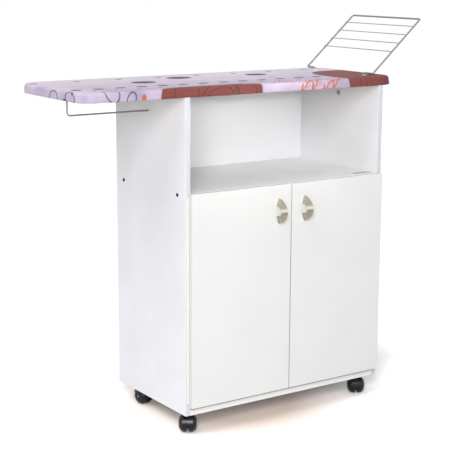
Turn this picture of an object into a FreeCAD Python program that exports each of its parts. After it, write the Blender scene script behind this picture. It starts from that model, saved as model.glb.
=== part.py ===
import FreeCAD, Part
import math
import os
import re
import Sketcher

V = FreeCAD.Vector
DIRECTIONS = {
    "+X": V(1, 0, 0), "-X": V(-1, 0, 0),
    "+Y": V(0, 1, 0), "-Y": V(0, -1, 0),
    "+Z": V(0, 0, 1), "-Z": V(0, 0, -1),
}
OPPOSITE = {"+X": "-X", "-X": "+X", "+Y": "-Y", "-Y": "+Y", "+Z": "-Z", "-Z": "+Z"}

# Driving sizes in millimetres, angles in degrees.
# The cabinet frame has X along the width from the left side's outer face, Y from the
# front edges of the sides to the back, and Z up from the floor.
SIZES = [
    # Carcass of laminated board
    ("width", 640.0),
    ("depth", 350.0),
    ("panel", 15.0),
    ("side_height", 826.0),
    ("shelf_height", 585.0),
    ("caster_height", 52.0),
    ("back_thickness", 3.0),
    ("groove_length", 60.0),
    ("groove_width", 2.4),
    ("groove_depth", 2.0),
    ("groove_inset", 22.0),
    ("groove_end", 4.0),
    # Doors over half of each side's front edge
    ("door_thickness", 15.0),
    ("door_gap", 2.0),
    ("door_reveal", 8.0),
    ("door_middle_gap", 3.0),
    ("door_lift", 23.5),
    ("edge_round", 0.8),
    # Ironing board: core, felt padding and cloth cover
    ("board_overhang_left", 284.0),
    ("board_overhang_right", 46.0),
    ("board_corner", 52.0),
    ("core_thickness", 16.0),
    ("padding_thickness", 6.0),
    ("cloth", 1.0),
    ("hem_width", 28.0),
    ("top_round", 6.5),
    # Removable wire rack
    ("rack_wire_radius", 2.5),
    ("crossbar_radius", 1.25),
    ("rack_span", 292.0),
    ("rack_foot_inset", 60.0),
    ("rack_slant", 221.0),
    ("rack_lean", 40.8),
    ("bar_pitch", 34.0),
    ("foot_turn", 36.0),
    ("rack_bend", 5.0),
    ("pin_depth", 20.0),
    ("ferrule_wall", 2.0),
    ("ferrule_flange", 0.8),
    ("ferrule_rim", 2.4),
    # Hanger bar under the board
    ("hanger_radius", 2.2),
    ("hanger_reach", 235.0),
    ("hanger_drop", 48.0),
    ("hanger_bend", 9.0),
    ("hanger_end", 8.0),
    ("hanger_collar", 2.0),
    ("hanger_collar_rim", 3.6),
    # Continuous hinges on the front edges of the sides
    ("leaf_thickness", 0.8),
    ("leaf_width", 8.4),
    ("barrel_radius", 1.8),
    ("hinge_pin_radius", 0.9),
    ("knuckle_gap", 0.3),
    ("barrel_gap", 0.1),
    ("hinge_end_margin", 10.0),
    ("leaf_screw_head_radius", 2.2),
    ("leaf_screw_radius", 1.2),
    ("leaf_screw_length", 12.0),
    ("leaf_screw_margin", 22.0),
    ("leaf_screw_edge", 3.0),
    # Bow handles
    ("handle_height", 68.0),
    ("handle_reach", 28.0),
    ("handle_width", 17.0),
    ("handle_lens", 72.0),
    ("finger_gap_height", 26.0),
    ("bow_thickness", 6.0),
    ("handle_offset", 42.0),
    ("handle_drop", 69.5),
    ("handle_screw_radius", 2.0),
    ("handle_screw_bite", 5.0),
    ("handle_screw_head_radius", 4.0),
    ("handle_screw_head", 2.2),
    # Magnetic catch under the shelf and its strike plates
    ("catch_length", 46.0),
    ("catch_depth", 14.0),
    ("catch_height", 13.0),
    ("catch_gap", 0.3),
    ("strike_length", 18.0),
    ("strike_thickness", 1.2),
    # Fasteners of the carcass
    ("shelf_screw_inset", 38.0),
    ("shelf_screw_radius", 2.5),
    ("shelf_screw_length", 45.0),
    ("shelf_screw_head_radius", 4.5),
    ("shelf_screw_head", 1.4),
    ("cam_radius", 7.5),
    ("cam_depth", 12.3),
    ("cam_offset", 34.0),
    ("cam_slot_length", 9.0),
    ("cam_slot_width", 1.6),
    ("cam_slot_depth", 1.5),
    ("cam_bolt_radius", 3.0),
    ("cam_bolt_bite", 11.0),
    ("base_cam_inset", 110.0),
    ("dowel_radius", 4.0),
    ("dowel_length", 30.0),
    ("dowel_bite", 11.0),
    ("socket_to_dowel", 30.0),
    ("base_dowel_inset", 85.0),
    ("nail_radius", 0.8),
    ("nail_length", 14.0),
    ("nail_head_radius", 2.0),
    ("nail_head", 0.9),
    ("nail_corner_inset", 30.0),
    # Twin wheel casters
    ("caster_inset_x", 36.0),
    ("caster_inset_y", 46.0),
    ("caster_trail", 24.0),
    ("plate_size", 38.0),
    ("plate_thickness", 1.5),
    ("plate_screw_inset", 5.5),
    ("plate_screw_radius", 1.4),
    ("plate_screw_head_radius", 2.9),
    ("plate_screw_length", 11.0),
    ("stem_radius", 3.0),
    ("stem_length", 11.5),
    ("neck_radius", 6.5),
    ("wheel_radius", 23.5),
    ("wheel_width", 20.5),
    ("wheel_shoulder", 17.0),
    ("hub_recess_radius", 5.0),
    ("hub_recess", 1.5),
    ("axle_radius", 2.5),
    ("fin_thickness", 6.0),
    ("fin_gap", 0.5),
    ("hood_gap", 0.7),
    ("hood_wall", 1.8),
    ("hood_set_in", 10.0),
    ("hood_tilt", 8.0),
    ("fin_radius", 16.0),
    # Clearances and the overrun that every cutting solid has
    ("hole_clearance", 0.05),
    ("running_clearance", 0.06),
    ("seat_gap", 0.3),
    ("overrun", 2.0),
]

# Places worked out from the driving sizes.
PLACES = [
    ("side_top", "caster_height + side_height"),
    ("shelf_top", "caster_height + shelf_height"),
    ("side_depth", "depth - back_thickness"),
    ("inner_width", "width - 2 * panel"),
    ("door_back", "0 - door_gap"),
    ("door_face", "0 - door_gap - door_thickness"),
    ("door_bottom", "caster_height + door_lift"),
    ("door_height", "shelf_height - door_lift"),
    ("door_width", "width / 2 - door_middle_gap / 2 - door_reveal"),
    ("board_left", "0 - board_overhang_left"),
    ("board_right", "width + board_overhang_right"),
    ("board_front", "0"),
    ("board_back", "depth"),
    ("felt_base", "side_top + core_thickness"),
    ("felt_top", "felt_base + padding_thickness"),
    ("cloth_top", "felt_top + cloth"),
    ("socket_reach", "rack_span / 2 - foot_turn"),
    ("board_dowel_reach", "socket_reach - socket_to_dowel"),
    ("rack_foot_x", "board_right - rack_foot_inset"),
    ("rack_foot_z", "cloth_top + ferrule_flange + rack_bend + seat_gap"),
    ("rack_run_x", "rack_slant * cos(rack_lean * 1 deg)"),
    ("rack_right", "rack_foot_x + rack_run_x + rack_wire_radius"),
    ("hanger_z", "side_top - hanger_drop"),
    ("hinge_x", "door_reveal - barrel_radius - barrel_gap"),
    ("hinge_y", "0 - barrel_radius - barrel_gap"),
    ("hinge_length", "door_height - 2 * hinge_end_margin"),
    ("handle_z", "shelf_top - handle_drop"),
    ("wheel_centre_z", "wheel_radius"),
    ("shelf_screw_z", "shelf_top - panel / 2"),
    ("origin_x", "(board_left + rack_right) / 2"),
    ("origin_y", "(door_face - handle_reach + depth) / 2"),
]

SAME_PLACE = 1e-6
BOX_EDGES = 12
HINGE_KNUCKLES = 19
HINGE_SCREWS = 5
CROSSBARS = 4
NAIL_ROWS = 5
CORNERS = ("front_left", "front_right", "rear_left", "rear_right")
# Where each caster trails at rest, as an angle turned from straight forward.
CASTER_YAWS = {"front_left": -34.0, "front_right": -33.0, "rear_left": 9.0, "rear_right": -20.0}

doc = FreeCAD.newDocument("ironing_board_cabinet")
sheet = doc.addObject("Spreadsheet::Sheet", "Sizes")
for row, (alias, number) in enumerate(SIZES, start=1):
    sheet.set("A%d" % row, alias)
    sheet.set("B%d" % row, str(number))
    sheet.setAlias("B%d" % row, alias)
doc.recompute()

SIZE_NAMES = {alias for alias, number in SIZES}
PLACE_NAMES = {alias for alias, text in PLACES}


def linked(text):
    """Give each size or place in a formula the name of the sheet that holds it."""
    def full_name(match):
        word = match.group()
        if word in SIZE_NAMES:
            return "Sizes." + word
        if word in PLACE_NAMES:
            return "Places." + word
        return word
    return re.sub(r"[a-z][a-z_]*", full_name, text)


places = doc.addObject("Spreadsheet::Sheet", "Places")
for row, (alias, text) in enumerate(PLACES, start=1):
    places.set("A%d" % row, alias)
    places.set("B%d" % row, "=" + linked(text).replace("Places.", ""))
    places.setAlias("B%d" % row, alias)
doc.recompute()


def size(alias):
    """Read one driving size or one worked-out place as a number."""
    source = sheet if alias in SIZE_NAMES else places
    return float(source.get(alias))


NODES = []


def node(thing, label):
    """Name a finished sub-part and put it on the list to be written."""
    thing.Label = label
    NODES.append(thing)
    return thing


def move(thing, at, turn=None):
    """Place an object at formulas given in the cabinet frame."""
    if turn is not None:
        thing.Placement = FreeCAD.Placement(V(0, 0, 0), turn)
    x, y, z = at
    thing.setExpression("Placement.Base.x", linked("(%s) - origin_x" % x))
    thing.setExpression("Placement.Base.y", linked("(%s) - origin_y" % y))
    thing.setExpression("Placement.Base.z", linked(z))
    return thing


def box(name, lengths, at):
    """A box with its low corner at a place."""
    thing = doc.addObject("Part::Box", name)
    for side, text in zip(("Length", "Width", "Height"), lengths):
        thing.setExpression(side, linked(text))
    return move(thing, at)


def rod(name, at, direction, radius, length):
    """A cylinder that starts at a place and runs along one direction."""
    thing = doc.addObject("Part::Cylinder", name)
    thing.setExpression("Radius", linked(radius))
    thing.setExpression("Height", linked(length))
    return move(thing, at, FreeCAD.Rotation(V(0, 0, 1), DIRECTIONS[direction]))


def fuse(name, things):
    """One solid from several that touch or overlap."""
    thing = doc.addObject("Part::MultiFuse", name)
    thing.Shapes = things
    return thing


def group(name, things):
    """Separate solids that share one node."""
    thing = doc.addObject("Part::Compound", name)
    thing.Links = things
    return thing


def cut(name, base, tool):
    """A base with a tool taken away."""
    thing = doc.addObject("Part::Cut", name)
    thing.Base = base
    thing.Tool = tool
    return thing


def fastener(name, at, direction, shank, head, grow="0"):
    """A shank that runs along a direction from a place, with its head behind that place.

    Shank and head are pairs of radius and length, and grow widens both for a hole.
    """
    return fuse(name, [
        rod(name + "_shank", at, direction, "(%s) + %s" % (shank[0], grow), shank[1]),
        rod(name + "_head", at, OPPOSITE[direction], "(%s) + %s" % (head[0], grow), head[1]),
    ])


def feature(name, shape):
    """A shape made in numbers in the cabinet frame, moved to the part's origin."""
    thing = doc.addObject("Part::Feature", name)
    thing.Shape = shape
    to_origin = FreeCAD.Placement(V(-size("origin_x"), -size("origin_y"), 0), FreeCAD.Rotation())
    thing.Placement = to_origin.multiply(thing.Placement)
    return thing


def rounded_outline(left, right, front, back, radius, height):
    """A closed wire round a rectangle with quarter-circle corners, at one height."""
    corners = [
        (V(right - radius, front + radius, height), -90),
        (V(right - radius, back - radius, height), 0),
        (V(left + radius, back - radius, height), 90),
        (V(left + radius, front + radius, height), 180),
    ]

    def on_circle(centre, angle):
        turn = math.radians(angle)
        return centre + V(radius * math.cos(turn), radius * math.sin(turn), 0)

    edges = []
    for index, (centre, start) in enumerate(corners):
        arc = Part.Arc(*(on_circle(centre, start + turn) for turn in (0, 45, 90)))
        next_centre, next_start = corners[(index + 1) % len(corners)]
        edges.append(arc.toShape())
        edges.append(Part.LineSegment(arc.EndPoint, on_circle(next_centre, next_start)).toShape())
    return Part.Wire(edges)


def slab(inset, radius_inset, low, high, top_round=0.0):
    """A solid with the board's rounded outline, drawn in by an inset all round."""
    wire = rounded_outline(
        size("board_left") + inset, size("board_right") - inset,
        size("board_front") + inset, size("board_back") - inset,
        size("board_corner") - radius_inset, low)
    solid = Part.Face(wire).extrude(V(0, 0, high - low))
    if top_round:
        edges = [edge for edge in solid.Edges if all(abs(v.Z - high) < SAME_PLACE for v in edge.Vertexes)]
        solid = solid.makeFillet(top_round, edges)
    return solid


def bent_wire(points, bend, radius):
    """A round wire along straight runs that are joined by arcs of one bend radius."""
    edges = []
    start = points[0]
    for previous, corner, following in zip(points, points[1:], points[2:]):
        arriving = (corner - previous).normalize()
        leaving = (following - corner).normalize()
        half_turn = arriving.getAngle(leaving) / 2
        reach = bend * math.tan(half_turn)
        arc_start = corner - arriving * reach
        arc_end = corner + leaving * reach
        inward = (leaving - arriving).normalize()
        centre = corner + inward * (bend / math.cos(half_turn))
        edges.append(Part.LineSegment(start, arc_start).toShape())
        edges.append(Part.Arc(arc_start, centre - inward * bend, arc_end).toShape())
        start = arc_end
    edges.append(Part.LineSegment(start, points[-1]).toShape())
    path = Part.Wire(edges)
    circle = Part.Circle(points[0], (points[1] - points[0]).normalize(), radius).toShape()
    return path.makePipeShell([Part.Wire(circle)], True, False)


def mirrored_x(side, text, extent="0"):
    """The x of a thing on the left, or of its mirror image on the right."""
    return text if side == "left" else "width - (%s) - (%s)" % (text, extent)


SIDES = ("left", "right")
OUTWARD = {"left": "-X", "right": "+X"}
INWARD = {"left": "+X", "right": "-X"}


def spread(count, low, high):
    """Formulas for places spread evenly from low to high."""
    return ["(%s) + ((%s) - (%s)) * %d / %d" % (low, high, low, step, count - 1) for step in range(count)]


# Fasteners, each made once as metal or wood and once a little wider as its hole

def shelf_screws(name, grow):
    parts = []
    for side in SIDES:
        for row, y in enumerate(("shelf_screw_inset", "side_depth - shelf_screw_inset")):
            parts.append(fastener(
                "%s_%s_%d" % (name, side, row), (mirrored_x(side, "0"), y, "shelf_screw_z"), INWARD[side],
                ("shelf_screw_radius", "shelf_screw_length"),
                ("shelf_screw_head_radius", "shelf_screw_head"), grow))
    return parts


def board_cams(name, grow):
    parts = []
    for side in SIDES:
        at = (mirrored_x(side, "panel"), "depth / 2", "side_top - cam_offset")
        parts.append(rod("%s_%s" % (name, side), at, OUTWARD[side], "cam_radius + " + grow, "cam_depth"))
    return parts


def board_bolts(name, grow):
    parts = []
    for side in SIDES:
        at = (mirrored_x(side, "panel / 2"), "depth / 2", "side_top - cam_offset + cam_radius + seat_gap")
        parts.append(rod("%s_%s" % (name, side), at, "+Z", "cam_bolt_radius + " + grow,
                         "cam_offset - cam_radius - seat_gap + cam_bolt_bite"))
    return parts


def board_dowels(name, grow):
    parts = []
    for side in SIDES:
        for row, y in enumerate(("depth / 2 - board_dowel_reach", "depth / 2 + board_dowel_reach")):
            at = (mirrored_x(side, "panel / 2"), y, "side_top + dowel_bite - dowel_length")
            parts.append(rod("%s_%s_%d" % (name, side, row), at, "+Z", "dowel_radius + " + grow,
                             "dowel_length"))
    return parts


def base_cams(name, grow):
    parts = []
    for side in SIDES:
        for row, y in enumerate(("base_cam_inset", "side_depth - base_cam_inset")):
            at = (mirrored_x(side, "panel + cam_offset"), y, "caster_height")
            parts.append(rod("%s_%s_%d" % (name, side, row), at, "+Z", "cam_radius + " + grow, "cam_depth"))
    return parts


def base_bolts(name, grow):
    parts = []
    for side in SIDES:
        for row, y in enumerate(("base_cam_inset", "side_depth - base_cam_inset")):
            at = (mirrored_x(side, "panel - cam_bolt_bite"), y, "caster_height + panel / 2")
            parts.append(rod("%s_%s_%d" % (name, side, row), at, INWARD[side], "cam_bolt_radius + " + grow,
                             "cam_bolt_bite + cam_offset - cam_radius - seat_gap"))
    return parts


def base_dowels(name, grow):
    parts = []
    for side in SIDES:
        for row, y in enumerate(("base_dowel_inset", "side_depth - base_dowel_inset")):
            at = (mirrored_x(side, "panel - dowel_bite"), y, "caster_height + panel / 2")
            parts.append(rod("%s_%s_%d" % (name, side, row), at, INWARD[side], "dowel_radius + " + grow,
                             "dowel_length"))
    return parts


def back_nails(name, grow):
    parts = []
    heights = spread(NAIL_ROWS, "caster_height + nail_corner_inset", "side_top - nail_corner_inset")
    spots = [(mirrored_x(side, "panel / 2"), z) for side in SIDES for z in heights]
    across = spread(NAIL_ROWS, "panel + nail_corner_inset", "width - panel - nail_corner_inset")
    spots += [(x, z) for x in across for z in ("caster_height + panel / 2", "shelf_top - panel / 2")]
    for index, (x, z) in enumerate(spots):
        parts.append(fastener(
            "%s_%d" % (name, index), (x, "depth - nail_head", z), "-Y",
            ("nail_radius", "nail_length"), ("nail_head_radius", "nail_head"), grow))
    return parts


def leaf_screws(name, grow, side, leaf):
    """The row of screws that holds one leaf of a hinge, to the case or to the door."""
    parts = []
    y, direction = {
        "case": ("0", "+Y"),
        "door": ("door_back", "-Y"),
    }[leaf]
    rows = spread(HINGE_SCREWS, "door_bottom + leaf_screw_margin", "shelf_top - leaf_screw_margin")
    for index, z in enumerate(rows):
        x = mirrored_x(side, "hinge_x + leaf_width - leaf_screw_edge")
        parts.append(fastener(
            "%s_%d" % (name, index), (x, y, z), direction,
            ("leaf_screw_radius", "leaf_screw_length"),
            ("leaf_screw_head_radius", "leaf_thickness"), grow))
    return parts


def handle_screws(name, grow, side):
    parts = []
    x = "width / 2 + handle_offset" if side == "right" else "width / 2 - handle_offset"
    reach = "(handle_height + finger_gap_height) / 4"
    for row, z in enumerate(("handle_z - " + reach, "handle_z + " + reach)):
        parts.append(fastener(
            "%s_%d" % (name, row), (x, "door_back", z), "-Y",
            ("handle_screw_radius", "door_thickness + handle_screw_bite"),
            ("handle_screw_head_radius", "handle_screw_head"), grow))
    return parts


def stem_place(corner):
    """The formulas of a caster's stem axis."""
    x = "caster_inset_x" if corner.endswith("left") else "width - caster_inset_x"
    y = "caster_inset_y" if corner.startswith("front") else "depth - caster_inset_y"
    return x, y


def plate_screws(name, grow):
    parts = []
    reach = "(plate_size / 2 - plate_screw_inset)"
    for corner in CORNERS:
        x, y = stem_place(corner)
        for index, (right, back) in enumerate(((-1, -1), (1, -1), (1, 1), (-1, 1))):
            at = ("%s + %d * %s" % (x, right, reach), "%s + %d * %s" % (y, back, reach), "caster_height")
            parts.append(fastener(
                "%s_%s_%d" % (name, corner, index), at, "+Z",
                ("plate_screw_radius", "plate_screw_length"),
                ("plate_screw_head_radius", "plate_thickness"), grow))
    return parts


HOLE = "hole_clearance"
NONE = "0"


def holes(name, maker, *extra):
    return group(name + "_holes", maker(name + "_hole", HOLE, *extra))


shelf_screw_holes = holes("shelf_screw", shelf_screws)
board_cam_holes = holes("board_cam", board_cams)
board_bolt_holes = holes("board_bolt", board_bolts)
board_dowel_holes = holes("board_dowel", board_dowels)
base_cam_holes = holes("base_cam", base_cams)
base_bolt_holes = holes("base_bolt", base_bolts)
base_dowel_holes = holes("base_dowel", base_dowels)
nail_holes = holes("nail", back_nails)
plate_screw_holes = holes("plate_screw", plate_screws)
leaf_screw_holes = {
    (side, leaf): holes("%s_%s_leaf_screw" % (side, leaf), leaf_screws, side, leaf)
    for side in SIDES for leaf in ("case", "door")
}
handle_screw_holes = {side: holes(side + "_handle_screw", handle_screws, side) for side in SIDES}

# Hanger bar: down from the board's underside, round a bend and into the left side
hanger_y = size("depth") / 2
hanger_path = [
    V(-size("hanger_reach"), hanger_y, size("side_top") + size("hanger_end")),
    V(-size("hanger_reach"), hanger_y, size("hanger_z")),
    V(size("hanger_end"), hanger_y, size("hanger_z")),
]
hanger_bar = node(feature(
    "HangerBar", bent_wire(hanger_path, size("hanger_bend"), size("hanger_radius"))), "hanger_bar")
hanger_holes = fuse("hanger_holes", [
    rod("hanger_board_hole", ("0 - hanger_reach", "depth / 2", "side_top - overrun"), "+Z",
        "hanger_radius + hole_clearance", "hanger_end + overrun"),
    rod("hanger_side_hole", ("0 - overrun", "depth / 2", "hanger_z"), "+X",
        "hanger_radius + hole_clearance", "hanger_end + overrun"),
])
collar_side = rod("collar_side", ("0 - hanger_collar", "depth / 2", "hanger_z"), "+X",
                  "hanger_radius + hanger_collar_rim", "hanger_collar")
collar_board = rod("collar_board", ("0 - hanger_reach", "depth / 2", "side_top - hanger_collar"), "+Z",
                   "hanger_radius + hanger_collar_rim", "hanger_collar")
hanger_bore_side = rod("collar_bore_side", ("0 - hanger_collar - overrun", "depth / 2", "hanger_z"), "+X",
                       "hanger_radius + hole_clearance", "hanger_collar + 2 * overrun")
hanger_bore_board = rod(
    "collar_bore_board", ("0 - hanger_reach", "depth / 2", "side_top - hanger_collar - overrun"), "+Z",
    "hanger_radius + hole_clearance", "hanger_collar + 2 * overrun")
node(group("HangerCollars", [
    cut("collar_side_ring", collar_side, hanger_bore_side),
    cut("collar_board_ring", collar_board, hanger_bore_board),
]), "hanger_bar_collars")

# Side panels, full height, with their holes
for side in SIDES:
    blank = box(side + "_side_blank", ("panel", "side_depth", "side_height"),
                (mirrored_x(side, "0", "panel"), "0", "caster_height"))
    tools = [
        shelf_screw_holes, board_cam_holes, board_bolt_holes, board_dowel_holes, base_bolt_holes,
        base_dowel_holes, nail_holes, leaf_screw_holes[(side, "case")],
    ]
    if side == "left":
        tools.append(hanger_holes)
    node(cut(side + "_side", blank, group(side + "_side_tools", tools)), side + "_side_panel")

# Base panel between the sides
base_blank = box("base_blank", ("inner_width", "side_depth", "panel"),
                 ("panel", "0", "caster_height"))
node(cut("base", base_blank, group("base_tools", [
    base_cam_holes, base_bolt_holes, base_dowel_holes, nail_holes, plate_screw_holes,
])), "base_panel")

# Middle shelf between the sides, flush with the door tops
shelf_blank = box("shelf_blank", ("inner_width", "side_depth", "panel"),
                  ("panel", "0", "shelf_top - panel"))
groove = box("shelf_groove", ("groove_length", "groove_width", "groove_depth + overrun"),
             ("width - panel - groove_end - groove_length", "groove_inset", "shelf_top - groove_depth"))
shelf_tools = group("shelf_tools", [shelf_screw_holes, nail_holes, groove])
node(cut("shelf", shelf_blank, shelf_tools), "middle_shelf")

# Back panel over the whole back, just low enough to clear the cover's hem
back_blank = box("back_blank", ("width", "back_thickness", "side_height - cloth - seat_gap"),
                 ("0", "side_depth", "caster_height"))
node(cut("back", back_blank, nail_holes), "back_panel")

# The fasteners themselves
node(group("BackNails", back_nails("nail", NONE)), "back_panel_nails")
node(group("ShelfScrews", shelf_screws("shelf_screw", NONE)), "shelf_screws")
node(group("BoardBolts", board_bolts("board_bolt", NONE)), "board_cam_bolts")
node(group("BoardDowels", board_dowels("board_dowel", NONE)), "board_dowels")
node(group("BaseBolts", base_bolts("base_bolt", NONE)), "base_cam_bolts")
node(group("BaseDowels", base_dowels("base_dowel", NONE)), "base_dowels")
node(group("PlateScrews", plate_screws("plate_screw", NONE)), "caster_plate_screws")


def cam_cross(name, x, y, z, flat):
    """The cross slot for a screwdriver in a cam's face, which lies flat or stands upright."""
    long_side = "cam_slot_length"
    short_side = "cam_slot_width"
    deep = "2 * cam_slot_depth"
    arms = []
    for arm, (first, second) in enumerate(((long_side, short_side), (short_side, long_side))):
        lengths = (first, second, deep) if flat else (deep, first, second)
        low = ["(%s) - (%s) / 2" % (centre, length) for centre, length in zip((x, y, z), lengths)]
        arms.append(box("%s_arm_%d" % (name, arm), lengths, tuple(low)))
    return fuse(name, arms)


board_cam_crosses = [
    cam_cross("board_cam_cross_" + side, mirrored_x(side, "panel"), "depth / 2",
              "side_top - cam_offset", False)
    for side in SIDES
]
node(cut("BoardCams", group("board_cam_discs", board_cams("board_cam", NONE)),
         group("board_cam_crosses", board_cam_crosses)), "board_cam_locks")
base_cam_crosses = [
    cam_cross("base_cam_cross_%s_%d" % (side, row), mirrored_x(side, "panel + cam_offset"), y,
              "caster_height", True)
    for side in SIDES for row, y in enumerate(("base_cam_inset", "side_depth - base_cam_inset"))
]
node(cut("BaseCams", group("base_cam_discs", base_cams("base_cam", NONE)),
         group("base_cam_crosses", base_cam_crosses)), "base_cam_locks")

# Sockets of the wire rack: a tube down through the felt and the core, and a flange on the felt
socket_text = {"front": "depth / 2 - socket_reach", "rear": "depth / 2 + socket_reach"}
socket_y = {
    "front": size("depth") / 2 - size("socket_reach"),
    "rear": size("depth") / 2 + size("socket_reach"),
}
ferrules = []
ferrule_holes = []
cloth_holes = []
for end, y in socket_text.items():
    outer = "rack_wire_radius + ferrule_wall"
    socket_low = "cloth_top - pin_depth - 2 * seat_gap"
    tube = rod("ferrule_tube_" + end, ("rack_foot_x", y, socket_low), "+Z", outer,
               "pin_depth + 2 * seat_gap + ferrule_flange")
    flange = rod("ferrule_flange_" + end, ("rack_foot_x", y, "felt_top"), "+Z",
                 outer + " + ferrule_rim", "cloth + ferrule_flange")
    bore_length = "pin_depth + ferrule_flange + 2 * seat_gap + 2 * overrun"
    bore = rod("ferrule_bore_" + end, ("rack_foot_x", y, socket_low + " - overrun"), "+Z",
               "rack_wire_radius + running_clearance", bore_length)
    ferrules.append(cut("ferrule_" + end, fuse("ferrule_blank_" + end, [tube, flange]), bore))
    ferrule_holes.append(rod("ferrule_hole_" + end, ("rack_foot_x", y, socket_low), "+Z",
                             outer + " + hole_clearance", "pin_depth + 2 * seat_gap + overrun"))
    cloth_holes.append(rod("cloth_hole_" + end, ("rack_foot_x", y, "felt_base"), "+Z",
                           outer + " + ferrule_rim + hole_clearance",
                           "padding_thickness + cloth + overrun"))
node(group("RackSockets", ferrules), "rack_sockets")
ferrule_hole_group = group("ferrule_hole_group", ferrule_holes)

# Ironing board: the core and the felt share one outline, the cloth goes round both
core_blank = feature("core_blank", slab(size("cloth"), size("cloth"), size("side_top"), size("felt_base")))
node(cut("core", core_blank, group("core_tools", [
    board_bolt_holes, board_dowel_holes, hanger_holes, ferrule_hole_group,
])), "board_core")
felt_blank = feature("felt_blank", slab(
    size("cloth"), size("cloth"), size("felt_base"), size("felt_top"), size("top_round") - size("cloth")))
node(cut("felt", felt_blank, ferrule_hole_group), "board_padding")


def cloth_cover():
    """The cover: a skin round the edge and the top, with a hem turned under the core."""
    hem_low = size("side_top") - size("cloth")
    outer = slab(0.0, 0.0, hem_low, size("cloth_top"), size("top_round"))
    core_space = slab(size("cloth"), size("cloth"), size("side_top"), size("felt_top"),
                      size("top_round") - size("cloth"))
    opening = slab(size("hem_width"), size("hem_width"), hem_low - size("overrun"), size("felt_base"))
    cover = outer.cut(core_space).cut(opening)
    seats = [
        (0.0, 0.0, size("panel"), size("depth")),
        (size("width") - size("panel"), 0.0, size("panel"), size("depth")),
    ]
    gap = size("seat_gap")
    for left, front, length, across in seats:
        cover = cover.cut(Part.makeBox(
            length + 2 * gap, across + 2 * gap, 2 * size("overrun"),
            V(left - gap, front - gap, size("side_top") - 2 * size("overrun"))))
    return cover


cover_blank = feature("cover_blank", cloth_cover())
node(cut("cover", cover_blank, group("cloth_hole_group", cloth_holes)), "board_cover")


def rack_point(along, y):
    """A point on the leaning plane of the rack, by its distance up from the foot line."""
    turn = math.radians(size("rack_lean"))
    return V(size("rack_foot_x") + along * math.cos(turn), y, size("rack_foot_z") + along * math.sin(turn))


rack_front = size("depth") / 2 - size("rack_span") / 2
rack_rear = size("depth") / 2 + size("rack_span") / 2
pin_low = size("cloth_top") - size("pin_depth")
rack_path = [
    V(size("rack_foot_x"), socket_y["front"], pin_low),
    V(size("rack_foot_x"), socket_y["front"], size("rack_foot_z")),
    rack_point(0.0, rack_front),
    rack_point(size("rack_slant"), rack_front),
    rack_point(size("rack_slant"), rack_rear),
    rack_point(0.0, rack_rear),
    V(size("rack_foot_x"), socket_y["rear"], size("rack_foot_z")),
    V(size("rack_foot_x"), socket_y["rear"], pin_low),
]
node(feature("RackFrame", bent_wire(rack_path, size("rack_bend"), size("rack_wire_radius"))), "rack_frame")


def crossbar(index):
    """One thin bar, welded on the upper side of both legs."""
    turn = math.radians(size("rack_lean"))
    lift = size("rack_wire_radius") + size("crossbar_radius") + size("hole_clearance")
    start = rack_point(size("rack_slant") - index * size("bar_pitch"), rack_front)
    start = start + V(-math.sin(turn), 0, math.cos(turn)) * lift
    return Part.makeCylinder(size("crossbar_radius"), size("rack_span"), start, V(0, 1, 0))


node(feature("RackBars", Part.makeCompound([crossbar(index + 1) for index in range(CROSSBARS)])),
     "rack_crossbars")


# Doors, edge-rounded slabs in front of the case
def rounded_door(side):
    door = box(side + "_door_slab", ("door_width", "door_thickness", "door_height"),
               (mirrored_x(side, "door_reveal", "door_width"), "door_face", "door_bottom"))
    edges = doc.addObject("Part::Fillet", side + "_door_rounded")
    edges.Base = door
    edges.Edges = [(edge, size("edge_round"), size("edge_round")) for edge in range(1, BOX_EDGES + 1)]
    return edges


for side in SIDES:
    tools = group(side + "_door_tools", [leaf_screw_holes[(side, "door")], handle_screw_holes[side]])
    node(cut(side + "_door_cut", rounded_door(side), tools), side + "_door")


# Continuous hinges: a case leaf and a door leaf with turn-about knuckles on one pin
def knuckle_span(index):
    """Low and high of one knuckle, with a small gap to the next."""
    share = size("hinge_length") / HINGE_KNUCKLES
    low = size("door_bottom") + size("hinge_end_margin") + index * share
    return low + size("knuckle_gap") / 2, low + share - size("knuckle_gap") / 2


def hinge_leaf(side, leaf):
    """One leaf with its knuckles, every other one along the barrel."""
    first = {"case": 0, "door": 1}[leaf]
    back = {"case": 0.0, "door": -size("door_gap") + size("leaf_thickness")}[leaf]
    low = size("door_bottom") + size("hinge_end_margin")
    axis_x = size("hinge_x")
    axis_y = size("hinge_y")
    flat_start = axis_x + size("barrel_radius") + size("knuckle_gap")
    flat = Part.makeBox(axis_x + size("leaf_width") - flat_start, size("leaf_thickness"),
                        size("hinge_length"), V(flat_start, back - size("leaf_thickness"), low))
    solids = []
    for index in range(first, HINGE_KNUCKLES, 2):
        bottom, top = knuckle_span(index)
        solids.append(Part.makeCylinder(size("barrel_radius"), top - bottom, V(axis_x, axis_y, bottom)))
        solids.append(Part.makeBox(flat_start - axis_x, size("leaf_thickness"), top - bottom,
                                   V(axis_x, back - size("leaf_thickness"), bottom)))
    leaf_shape = flat.multiFuse(solids)
    bore = Part.makeCylinder(
        size("hinge_pin_radius") + size("running_clearance"), size("hinge_length") + 2 * size("overrun"),
        V(axis_x, axis_y, low - size("overrun")))
    leaf_shape = leaf_shape.cut(bore).removeSplitter()
    if side == "right":
        leaf_shape = leaf_shape.mirror(V(size("width") / 2, 0, 0), V(1, 0, 0))
    return leaf_shape


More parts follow.
